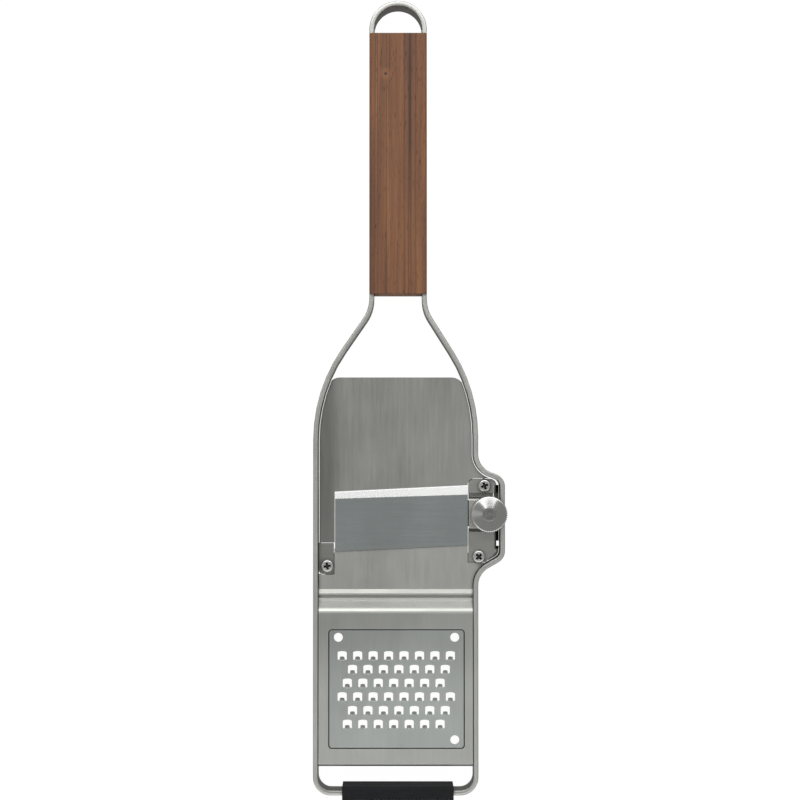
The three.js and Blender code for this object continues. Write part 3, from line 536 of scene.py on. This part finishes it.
def rounded_section(width, low, high, radius, steps=3):
    """A rounded rectangle as (depth behind the outer face, height) points."""
    corners = [
        (radius, low + radius, 180),
        (width - radius, low + radius, 270),
        (width - radius, high - radius, 0),
        (radius, high - radius, 90),
    ]
    points = []
    for depth, height, start in corners:
        for step in range(steps + 1):
            angle = math.radians(start + 90 * step / steps)
            points.append((depth + radius * math.cos(angle), height + radius * math.sin(angle)))
    return points


def build_band():
    """The flat bar swept round its closed path, with its edges eased and UVs along it."""
    outline = outline_of("frame_band")
    low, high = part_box("frame_band")
    section = rounded_section(BAND_THICKNESS, low.z, high.z, BAND_EASE)
    count, rows = len(outline), len(section)
    shape = bmesh.new()
    uv = shape.loops.layers.uv.new("along")
    rings, lengths = [], [0.0]
    for i, point in enumerate(outline):
        into = (point - outline[i - 1]).normalized()
        out = (outline[(i + 1) % count] - point).normalized()
        normals = Vector((into.y, -into.x)), Vector((out.y, -out.x))
        outward = (normals[0] + normals[1]) / (1 + normals[0].dot(normals[1]))
        ring = []
        for depth, height in section:
            spot = point - outward * depth
            ring.append(shape.verts.new((spot.x, spot.y, height)))
        rings.append(ring)
        lengths.append(lengths[-1] + (outline[(i + 1) % count] - point).length)
    around = [0.0]
    for a, b in zip(section, section[1:] + section[:1]):
        around.append(around[-1] + math.dist(a, b))
    for i in range(count):
        for k in range(rows):
            after, beyond = (i + 1) % count, (k + 1) % rows
            face = shape.faces.new(
                (rings[i][k], rings[after][k], rings[after][beyond], rings[i][beyond])
            )
            corners = ((i, k), (i + 1, k), (i + 1, k + 1), (i, k + 1))
            for loop, (u, v) in zip(face.loops, corners):
                loop[uv].uv = (lengths[u], around[v])
            climb = abs(section[k][1] - section[beyond][1])
            face.material_index = 1 if climb > 2 * BAND_EASE else 0
    steels = [band_steel, band_side_steel]
    piece("band_bar", shape, steels, "frame", "band_steel", "frame_band")


build_band()


# ---------------------------------------------------------------- handle and foot

WOOD_EDGE = 0.35 * MM
RUBBER_EDGE = 0.4 * MM

for side in ("handle_front", "handle_rear"):
    refined(side + "_wood", side + "_scale", WOOD_EDGE, walnut, "frame", "walnut", 3)
for dowel in ("upper_dowel", "lower_dowel"):
    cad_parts[dowel].data.materials.clear()
    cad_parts[dowel].data.materials.append(walnut)

refined("foot_rubber", "foot_sleeve", RUBBER_EDGE, rubber, "frame", "rubber", 3)


# ---------------------------------------------------------------- sheet metal

SHEET_EDGE = 0.1 * MM  # a deburred edge
RAMP_REACH = 4.8 * MM  # from the grater plate's top edge to the foot of its ramp
SHEETS = (
    ("feed_deck", deck_steel, "frame"),
    ("lower_deck", lower_steel, "frame"),
    ("grater_plate", plate_steel, "frame"),
    ("side_bracket", bracket_steel, "frame"),
    ("left_bracket", tab_steel, "frame"),
    ("grater_retainer", retainer_shade_steel, "frame"),
    ("blade_carrier", lower_steel, "carriage"),
)

sheets = {
    node: refined(node + "_sheet", node, SHEET_EDGE, steel, body, "deck_steel")
    for node, steel, body in SHEETS
}
plate = sheets["grater_plate"].data
plate.materials.append(ramp_steel)
for face in plate.polygons:
    if face.center.y > plate_high - RAMP_REACH:
        face.material_index = 1


# ---------------------------------------------------------------- grater blade

TOOTH_WIDTH = 3.8 * MM
TOOTH_HEIGHT = 3.65 * MM
TOOTH_CROWN = 0.5 * MM
TOOTH_RISE = 0.6 * MM
TOOTH_EDGE = 0.08 * MM
TOOTH_PITCH = 6.4 * MM
ROW_PITCH = 5.66 * MM
ROW_COUNT = 6
ROW_SHIFTS = (0, 2 / 3, 1 / 3)  # of the tooth pitch, repeated down the blade
FIRST_TOOTH = 3.4 * MM + TOOTH_WIDTH / 2
LAST_TOOTH = 3.2 * MM + TOOTH_WIDTH / 2
FIRST_ROW = 8.6 * MM
LOCATOR_RADIUS = 1.85 * MM
LOCATOR_SIDE = 3.7 * MM
LOCATOR_HIGH = 2.9 * MM
LOCATOR_LOW = 3.3 * MM
TONGUE_WIDTH = 2.1 * MM
TONGUE_HEIGHT = 1.35 * MM
TONGUE_ROOT = 0.45 * MM  # how far it reaches back into the sheet
TONGUE_INSET = 0.02 * MM  # its root's faces lie this far inside the sheet's
TONGUE_TAPER = 0.12
TONGUE_CROWN = 0.18 * MM
TONGUE_TIP = 0.2 * MM  # how far its tip is rounded
TONGUE_GRIND = 0.75  # share of its thickness that is ground off at the tip


def prism(shape, points, low, high):
    """Adds a closed upright prism to a bmesh."""
    bottom = [shape.verts.new((x, y, low)) for x, y in points]
    top = [shape.verts.new((x, y, high)) for x, y in points]
    shape.faces.new(bottom[::-1])
    shape.faces.new(top)
    count = len(points)
    for i in range(count):
        after = (i + 1) % count
        shape.faces.new((bottom[i], bottom[after], top[after], top[i]))


def tooth_places():
    """The middle and top of each tooth opening, row by row."""
    low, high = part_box("grater_blade")
    for row in range(ROW_COUNT):
        y = high.y - FIRST_ROW - row * ROW_PITCH
        x = low.x + FIRST_TOOTH + ROW_SHIFTS[row % len(ROW_SHIFTS)] * TOOTH_PITCH
        while x <= high.x - LAST_TOOTH:
            yield x, y
            x += TOOTH_PITCH


def tooth_opening(x, y):
    """The crowned opening in front of one tooth, without its tongue."""
    half = TOOTH_WIDTH / 2
    leg = (half - TONGUE_WIDTH / 2) / 2
    foot = y - TOOTH_HEIGHT + leg
    points = []
    for side in (-1, 1):
        for step in range(7):
            angle = math.radians(180 + 180 * step / 6)
            reach = side * (half - leg) + leg * math.cos(angle)
            points.append((x + reach, foot + leg * math.sin(angle)))
    for step in range(9):
        share = 1 - 2 * step / 8
        drop = TOOTH_CROWN * (0.55 * share**2 + 0.45 * share**6)
        points.append((x + half * share, y - drop))
    return points


def tongue(shape, x, y, top, thickness):
    """One tooth: a tongue that curls up out of the plate, ground thin at its tip."""
    rows, columns = 7, 6
    low = y - TOOTH_HEIGHT - TONGUE_ROOT
    length = TONGUE_HEIGHT + TONGUE_ROOT
    sections = []
    for row in range(rows + 1):
        along = row / rows
        half = TONGUE_WIDTH / 2 * (1 - TONGUE_TAPER * along)
        rise = TOOTH_RISE * along**1.6
        ahead = low + length * along
        body = thickness * (1 - TONGUE_GRIND * max(0.0, 2 * along - 1))
        upper, under = [], []
        for column in range(columns + 1):
            side = 2 * column / columns - 1
            bulge = along * (1 - side**2)
            place_x = x + half * side
            place_y = ahead + TONGUE_TIP * bulge
            height = top + rise + TONGUE_CROWN * bulge
            upper.append(shape.verts.new((place_x, place_y, height)))
            under.append(shape.verts.new((place_x, place_y, height - body)))
        sections.append((upper, under))
    for (upper, under), (next_upper, next_under) in zip(sections, sections[1:]):
        for a in range(columns):
            b = a + 1
            shape.faces.new((upper[a], upper[b], next_upper[b], next_upper[a]))
            shape.faces.new((under[b], under[a], next_under[a], next_under[b]))
        shape.faces.new((under[0], upper[0], next_upper[0], next_under[0]))
        shape.faces.new((upper[-1], under[-1], next_under[-1], next_upper[-1]))
    for (upper, under), turn in ((sections[0], 1), (sections[-1], -1)):
        for column in range(columns):
            corners = (upper[column], under[column], under[column + 1], upper[column + 1])
            shape.faces.new(corners[::turn])


def build_grater():
    """The etched blade: a sheet with crowned openings and a raised tooth in each."""
    low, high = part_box("grater_blade")
    shape = bmesh.new()
    prism(shape, outline_of("grater_blade"), low.z, high.z)
    cutters = bmesh.new()
    for x, y in tooth_places():
        prism(cutters, tooth_opening(x, y), low.z - MM, high.z + MM)
    holes = (
        (low.x + LOCATOR_SIDE, high.y - LOCATOR_HIGH),
        (high.x - LOCATOR_SIDE, high.y - LOCATOR_HIGH),
        (high.x - LOCATOR_SIDE, low.y + LOCATOR_LOW),
    )
    for x, y in holes:
        ring = [
            (
                x + LOCATOR_RADIUS * math.cos(math.radians(angle)),
                y + LOCATOR_RADIUS * math.sin(math.radians(angle)),
            )
            for angle in range(0, 360, 9)
        ]
        prism(cutters, ring, low.z - MM, high.z + MM)
    shape = softened(carved(shape, cutters), TOOTH_EDGE, angle=50)
    top = high.z - TONGUE_INSET
    thickness = top - TONGUE_INSET - low.z
    for x, y in tooth_places():
        tongue(shape, x, y, top, thickness)
    made = piece(
        "grater_blade_teeth", shape, grater_steel, "frame", "grater_steel", "grater_blade", sharp=40
    )
    weighted(made)


build_grater()


# ---------------------------------------------------------------- slicing blade

BLADE_EDGE = 0.06 * MM  # rounding of the edges that aren't ground sharp


def build_blade():
    """The blade strip: a fine ground body, and a ground bevel down to its cutting edge, brightened
    by a painted highlight.
    """
    shape = cad_shape("slicing_blade")
    # the tilted bevel faces take the bright steel: ground finish and painted highlight
    for face in shape.faces:
        tilted = 0.9 < face.normal.z < 0.999
        face.material_index = 1 if tilted else 0
    shape = softened(shape, BLADE_EDGE, angle=60, material=0)
    made = piece(
        "slicing_blade_strip",
        shape,
        [blade_steel, ground_bevel_highlight_steel],
        "carriage",
        "blade_steel",
        "slicing_blade",
        sharp=4,
    )
    weighted(made)


build_blade()


# ---------------------------------------------------------------- turned pieces

SCREW_TURNS = {"upper_right": 20, "lower_right": 45, "left": 10}  # degrees
SCREW_RADIUS = 1.5 * MM
SCREW_PITCH = 0.5 * MM
SCREW_GROOVE = 0.28 * MM
SCREW_HEAD = 1.9 * MM
SCREW_BROW = 0.75 * MM  # radius of the head's rounded side
SCREW_BORE = 1.7 * MM
RECESS_LENGTH = 3.2 * MM
RECESS_WIDTH = 1.0 * MM
RECESS_DEPTH = 1.2 * MM
LOCK_NUT_ACROSS = 5.5 * MM
NYLON_HEIGHT = 0.7 * MM
NUT_CHAMFER = 0.35 * MM
SLEEVE_EDGE = 0.1 * MM


def lathe(shape, rows, x, y, sides, reshape=None, closed=False):
    """Adds a turned solid: (radius, height) rows about an upright axis.

    reshape(angle, radius, height) may change a point's radius. A closed profile is bored through.
    """
    rings = []
    for radius, height in rows:
        if radius == 0:
            rings.append([shape.verts.new((x, y, height))])
            continue
        ring = []
        for side in range(sides):
            angle = 2 * math.pi * side / sides
            reach = reshape(angle, radius, height) if reshape else radius
            spot = (x + reach * math.cos(angle), y + reach * math.sin(angle), height)
            ring.append(shape.verts.new(spot))
        rings.append(ring)
    pairs = list(zip(rings, rings[1:]))
    if closed:
        pairs.append((rings[-1], rings[0]))
    for lower, upper in pairs:
        for side in range(sides):
            after = (side + 1) % sides
            if len(lower) == 1:
                shape.faces.new((lower[0], upper[side], upper[after]))
            elif len(upper) == 1:
                shape.faces.new((lower[side], lower[after], upper[0]))
            else:
                shape.faces.new((lower[side], lower[after], upper[after], upper[side]))


def threaded(shape, x, y, low, high, radius, pitch, depth, sides=24):
    """Adds a threaded rod with chamfered ends."""
    rows_per_turn = 6
    steps = max(8, round((high - low) / pitch * rows_per_turn))
    rows = [(0, low)]
    rows += [(radius, low + (high - low) * step / steps) for step in range(steps + 1)]
    rows.append((0, high))

    def crest(angle, reach, height):
        turn = (height / pitch - angle / (2 * math.pi)) % 1
        groove = depth * abs(2 * turn - 1)
        ends = min(height - low, high - height)
        return reach - max(groove, depth - ends if ends < depth else 0)

    lathe(shape, rows, x, y, sides, crest)


def hexagonal(across, low, high, chamfer):
    """A reshape that turns a round row into a hexagon with chamfered corners."""

    def reach(angle, radius, height):
        if radius < across / 2 * 0.95:
            return radius
        to_flat = (angle + math.pi / 6) % (math.pi / 3) - math.pi / 6
        flat = across / 2 / math.cos(to_flat)
        depth = min(height - low, high - height)
        return min(flat, across / 2 * 1.02 + depth / chamfer * across * 0.1)

    return reach


def build_nut(name, node, across, bore, collar=0):
    """A hexagon nut with chamfered corners, and a nylon collar if it is a lock nut."""
    low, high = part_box(node)
    x, y = middle(node).xy
    shape = bmesh.new()
    top = high.z - collar
    height = top - low.z
    flat_face, corner = across * 0.47, across * 0.6  # hexagonal brings the corner rows in
    mouth, mouth_depth = bore + 0.2 * MM, 0.15 * MM
    rows = [(bore, low.z + mouth_depth), (mouth, low.z), (flat_face, low.z)]
    rows.append((corner, low.z + 0.001 * MM))
    for share in (0.06, 0.13, 0.2, 0.5, 0.8, 0.87, 0.94, 0.999):
        rows.append((corner, low.z + height * share))
    rows += [(flat_face, top), (mouth, top), (bore, top - mouth_depth)]
    lathe(shape, rows, x, y, 72, hexagonal(across, low.z, top, NUT_CHAMFER), closed=True)
    materials = [turned_steel(name + "_steel", 0.6, 0.3, (x, y))]
    if collar:
        metal_faces = len(shape.faces)
        grip = bore - 0.05 * MM
        ring = [
            (grip, top - 0.3 * MM),
            (across * 0.44, top - 0.3 * MM),
            (across * 0.44, high.z - 0.25 * MM),
            (across * 0.42, high.z - 0.05 * MM),
            (across * 0.40, high.z),
            (mouth, high.z),
            (grip, high.z - 0.2 * MM),
        ]
        lathe(shape, ring, x, y, 48, closed=True)
        shape.faces.ensure_lookup_table()
        for face in shape.faces[metal_faces:]:
            face.material_index = 1
        materials.append(nylon)
    piece(name, shape, materials, "frame", "turned_steel", node)


def cross_recess(x, y, top, turn):
    """The cutters for a tapered cross recess, turned by an angle in degrees."""
    cutters = bmesh.new()
    mouth = (RECESS_LENGTH / 2, RECESS_WIDTH / 2, top + 0.1 * MM)
    floor = (RECESS_LENGTH / 4, RECESS_WIDTH * 0.36, top - RECESS_DEPTH)
    for angle in (turn, turn + 90):
        along = Vector((math.cos(math.radians(angle)), math.sin(math.radians(angle))))
        across = Vector((-along.y, along.x))
        outlines = []
        for length, width, height in (floor, mouth):
            outline = []
            for ahead, aside in ((-1, -1), (1, -1), (1, 1), (-1, 1)):
                spot = along * ahead * length + across * aside * width
                outline.append(cutters.verts.new((x + spot.x, y + spot.y, height)))
            outlines.append(outline)
        lower, upper = outlines
        cutters.faces.new(upper)
        cutters.faces.new(lower[::-1])
        for i in range(4):
            after = (i + 1) % 4
            cutters.faces.new((lower[i], lower[after], upper[after], upper[i]))
    return cutters


def build_screw(name, node, turn):
    """A pan-head machine screw with a domed head, a tapered cross recess and a cut thread."""
    low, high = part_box(node)
    x, y = middle(node).xy
    radius = (high.x - low.x) / 2
    under = high.z - SCREW_HEAD
    rim = 0.12 * MM  # height of the chamfer under the head, and of the shallow dome on it
    dome = [(0, under), (radius - 0.1 * MM, under), (radius, under + rim)]
    for step in range(9):
        angle = math.radians(90 * step / 8)
        reach = radius - SCREW_BROW * (1 - math.cos(angle))
        dome.append((reach, high.z - rim - SCREW_BROW * (1 - math.sin(angle))))
    dome += [(radius * 0.45, high.z - 0.03 * MM), (0, high.z)]
    shape = bmesh.new()
    lathe(shape, dome, x, y, 48)
    bmesh.ops.recalc_face_normals(shape, faces=shape.faces)
    shape = carved(shape, cross_recess(x, y, high.z, turn), use_self=True)
    # faces inside the cross recess take the near-black steel: painted shade, with some dirt, deep
    # in the recess
    for face in shape.faces:
        spot = face.calc_center_median()
        inner = math.hypot(spot.x - x, spot.y - y) < RECESS_LENGTH / 2 + 0.1 * MM
        inside = inner and spot.z > under + 0.1 * MM
        sunk = face.normal.z < 0.8 or spot.z < high.z - RECESS_DEPTH / 2
        face.material_index = 1 if inside and sunk else 0
    shank_top = under + 0.2 * MM
    threaded(shape, x, y, low.z, shank_top, SCREW_RADIUS, SCREW_PITCH, SCREW_GROOVE)
    materials = [turned_steel(name + "_steel", 0.78, 0.24, (x, y)), recess_shade_steel]
    piece(name, shape, materials, "frame", "turned_steel", node, sharp=35)


def build_ring(name, node, bore, edge, body):
    """A plain turned ring with broken edges."""
    low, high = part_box(node)
    x, y = middle(node).xy
    radius = (high.x - low.x) / 2
    rows = [
        (bore + edge, low.z),
        (radius - edge, low.z),
        (radius, low.z + edge),
        (radius, high.z - edge),
        (radius - edge, high.z),
        (bore + edge, high.z),
        (bore, high.z - edge),
        (bore, low.z + edge),
    ]
    shape = bmesh.new()
    lathe(shape, rows, x, y, 64, closed=True)
    material = turned_steel(name + "_steel", 0.6, 0.3, (x, y))
    piece(name, shape, material, body, "turned_steel", node)


# Painted shade, with some dirt: the near-black steel in the screws' cross recesses.
recess_shade_steel = mill_steel("recess_steel_painted_shade", 0.10, 0.55)
for side, turn in SCREW_TURNS.items():
    build_screw(side + "_pan_screw", side + "_screw", turn)
    build_nut(side + "_nylon_nut", side + "_lock_nut", LOCK_NUT_ACROSS, SCREW_BORE, NYLON_HEIGHT)
    build_ring(side + "_guide_ring", side + "_sleeve", SCREW_BORE, SLEEVE_EDGE, "frame")


# ---------------------------------------------------------------- knob and stud

KNURLS = 52
KNURL_DEPTH = 0.45 * MM
KNOB_HUB = 4.2 * MM
KNOB_HUB_HEIGHT = 1.3 * MM
KNOB_CONE_HEIGHT = 1.6 * MM
KNOB_FACE = 2.85 * MM
KNOB_BORE = 2.2 * MM
KNOB_BORE_DEPTH = 4.3 * MM  # above the hub
KNOB_RING_PITCH = 0.2 * MM
STUD_RADIUS = 2 * MM
STUD_PITCH = 0.7 * MM
STUD_GROOVE = 0.38 * MM
STUD_NECK = 1.6 * MM  # radius of the groove for the clip
STUD_NUT_ACROSS = 7 * MM
STUD_NUT_BORE = 2.05 * MM
WASHER_BORE = 2.2 * MM
WASHER_EDGE = 0.08 * MM
CLIP_EDGE = 0.06 * MM


def knob_profile(low, high, radius):
    """The knob's (radius, height) rows: up the hub, under the rim, up the knurl, over the cone."""
    hub_top = low + KNOB_HUB_HEIGHT
    bore_top = hub_top + KNOB_BORE_DEPTH
    rim_top = high - KNOB_CONE_HEIGHT
    edge, corner = 0.2 * MM, 0.15 * MM
    inside_knurl = radius - 0.55 * MM
    rows = [
        (0, bore_top),
        (KNOB_BORE, bore_top),
        (KNOB_BORE, low + edge),
        (KNOB_BORE + edge, low),
        (KNOB_HUB - edge, low),
        (KNOB_HUB, low + edge),
        (KNOB_HUB, hub_top - corner),
        (KNOB_HUB + corner, hub_top),
        (radius - 0.9 * MM, hub_top),
        (inside_knurl, hub_top + 0.05 * MM),
    ]
    knurl_low, knurl_high = hub_top + 0.5 * MM, rim_top - 0.05 * MM
    for step in range(9):
        rows.append((radius, knurl_low + (knurl_high - knurl_low) * step / 8))
    rows += [(radius - 0.03 * MM, rim_top), (radius - 0.5 * MM, rim_top + 0.03 * MM)]
    cone_low = rim_top + 0.05 * MM
    rings = 10
    for step in range(1, rings + 1):
        share = step / rings
        reach = inside_knurl + (KNOB_FACE - inside_knurl) * share
        height = cone_low + (high - cone_low) * (share * 0.92 + share**2 * 0.08)
        rows.append((reach + 0.04 * MM, height - 0.03 * MM))  # a turning mark
        rows.append((reach, height))
    rows += [
        (KNOB_FACE - 0.06 * MM, high - 0.01 * MM),
        (KNOB_FACE - 0.16 * MM, high - 0.04 * MM),
        (KNOB_FACE * 0.5, high - 0.05 * MM),
        (0.25 * MM, high - 0.05 * MM),
        (0, high - 0.12 * MM),
    ]
    return rows


def build_knob():
    """The thumb knob: a hub, a straight-knurled rim, a turned cone and a faced middle darkened by
    painted shade.
    """
    low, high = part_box("thumb_knob")
    x, y = middle("thumb_knob").xy
    radius = (high.x - low.x) / 2

    def knurl(angle, reach, height):
        if reach < radius - 0.2 * MM:
            return reach
        wave = abs((angle * KNURLS / (2 * math.pi)) % 1 * 2 - 1)
        return reach - KNURL_DEPTH * wave

    shape = bmesh.new()
    lathe(shape, knob_profile(low.z, high.z, radius), x, y, KNURLS * 6, knurl)
    # the flat middle takes the darker copy of the knob steel: painted shade
    for face in shape.faces:
        spot = face.calc_center_median()
        on_face = math.hypot(spot.x - x, spot.y - y) < KNOB_FACE
        face.material_index = 1 if on_face and spot.z > high.z - 0.2 * MM else 0
    materials = [
        turned_steel("knob_steel_turned", 0.58, 0.2, (x, y), KNOB_RING_PITCH),
        # a darker copy of the knob steel: painted shade on the faced middle
        turned_steel("knob_steel_faced_painted_shade", 0.31, 0.3, (x, y), KNOB_RING_PITCH),
    ]
    piece("thumb_knob_turned", shape, materials, "knob", "turned_steel", "thumb_knob", sharp=32)


def build_stud():
    """The knob's threaded stud, with a groove for the clip."""
    low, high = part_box("adjusting_stud")
    clip_low, clip_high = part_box("retaining_clip")
    x, y = middle("adjusting_stud").xy
    neck_low, neck_high = clip_low.z - 0.1 * MM, clip_high.z + 0.1 * MM
    root, edge = neck_low - 0.3 * MM, 0.2 * MM
    shape = bmesh.new()
    threaded(shape, x, y, low.z, neck_low, STUD_RADIUS, STUD_PITCH, STUD_GROOVE, 32)
    rows = [
        (0, root),
        (STUD_NECK, root),
        (STUD_NECK, neck_high),
        (STUD_RADIUS, neck_high + 0.02 * MM),
        (STUD_RADIUS, high.z - edge),
        (STUD_RADIUS - edge, high.z),
        (0, high.z),
    ]
    lathe(shape, rows, x, y, 32)
    material = turned_steel("stud_steel", 0.58, 0.3, (x, y))
    piece("adjusting_stud_thread", shape, material, "knob", "turned_steel", "adjusting_stud")


def build_clip():
    """The retaining clip, as in the CAD model, with rounded edges."""
    material = turned_steel("clip_steel", 0.4, 0.35, middle("retaining_clip").xy)
    refined(
        "retaining_clip_spring", "retaining_clip", CLIP_EDGE, material, "knob", "turned_steel"
    )


build_knob()
build_stud()
build_ring("knob_washer_ring", "knob_washer", WASHER_BORE, WASHER_EDGE, "knob")
build_clip()
build_nut("stud_nut_hex", "stud_nut", STUD_NUT_ACROSS, STUD_NUT_BORE)


# ---------------------------------------------------------------- floor, light and camera


def build_floor():
    """A plain pale floor just under the paddle, left out of its reflections."""
    shape = bmesh.new()
    bmesh.ops.create_grid(shape, x_segments=8, y_segments=8, size=6)
    mesh = bpy.data.meshes.new("floor")
    shape.to_mesh(mesh)
    shape.free()
    floor = bpy.data.objects.new("floor", mesh)
    floor.location.z = -0.05 * MM
    bpy.context.scene.collection.objects.link(floor)
    material, tree = new_material("floor_pale")
    speckle = noise(tree, place(tree, (40, 40, 40)), 2, 0.5)
    color = mixed(tree, ranged(tree, speckle, 0.0, 1.0), grey(0.07, (1, 1)), grey(0.08, (1, 1)))
    shader = tree.nodes["Principled BSDF"]
    tree.links.new(color, shader.inputs["Base Color"])
    shader.inputs["Roughness"].default_value = 0.9
    shader.inputs["Specular IOR Level"].default_value = 0.1
    shader.inputs["Emission Color"].default_value = (1, 1, 1, 1)
    shader.inputs["Emission Strength"].default_value = 0.98
    mesh.materials.append(material)
    floor.visible_glossy = False


def add_softbox(name, place_at, size_x, size_y, strength):
    """A plain rectangular area light that faces the middle of the paddle."""
    data = bpy.data.lights.new(name, "AREA")
    data.shape = "RECTANGLE"
    data.size = size_x
    data.size_y = size_y
    data.energy = strength
    light = bpy.data.objects.new(name, data)
    light.location = place_at
    light.rotation_mode = "QUATERNION"
    light.rotation_quaternion = (-Vector(place_at)).to_track_quat("-Z", "Y")
    bpy.context.scene.collection.objects.link(light)


def build_world(level_below, level_above):
    """Plain grey surroundings, darker below the horizon."""
    world = bpy.data.worlds.new("surroundings")
    world.use_nodes = True
    tree = world.node_tree
    direction = add(tree, "ShaderNodeTexCoord").outputs["Generated"]
    height = add(tree, "ShaderNodeSeparateXYZ", {0: direction}).outputs["Z"]
    level = ranged(tree, height, level_below, level_above, -0.2, 0.8)
    background = tree.nodes["Background"]
    background.inputs["Color"].default_value = (1.0, 1.0, 0.985, 1)
    tree.links.new(level, background.inputs["Strength"])
    bpy.context.scene.world = world


def build_camera():
    """The camera above the lower half, framed half by its tilt and half by lens shift."""
    low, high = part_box("frame_band")
    distance, tilt = 700 * MM, 12 * MM
    eye = Vector((low.x + 34 * MM, low.y + 139.5 * MM, high.z + distance))
    target = Vector((eye.x, eye.y + tilt, high.z))
    back = (eye - target).normalized()
    right = Vector((1, 0, 0))
    up = back.cross(right)
    data = bpy.data.cameras.new("camera")
    data.lens = 76
    data.sensor_width = 36
    data.shift_x = 0.006
    data.shift_y = 0.036
    data.clip_start = 0.01
    data.clip_end = 20
    camera = bpy.data.objects.new("camera", data)
    turn = Matrix((right, up, back)).transposed().to_4x4()
    camera.matrix_world = Matrix.Translation(eye) @ turn
    bpy.context.scene.collection.objects.link(camera)
    bpy.context.scene.camera = camera


build_floor()
build_world(0.22, 0.33)
add_softbox("upper_softbox", (0, 1.55, 2.15), 2.6, 1.5, 28)
add_softbox("left_softbox", (-1.8, 0, 2.0), 1.0, 1.8, 1.4)
add_softbox("lower_softbox", (0, -1.1, 2.1), 2.4, 0.6, 6)
build_camera()
bpy.context.scene.view_settings.view_transform = "Standard"
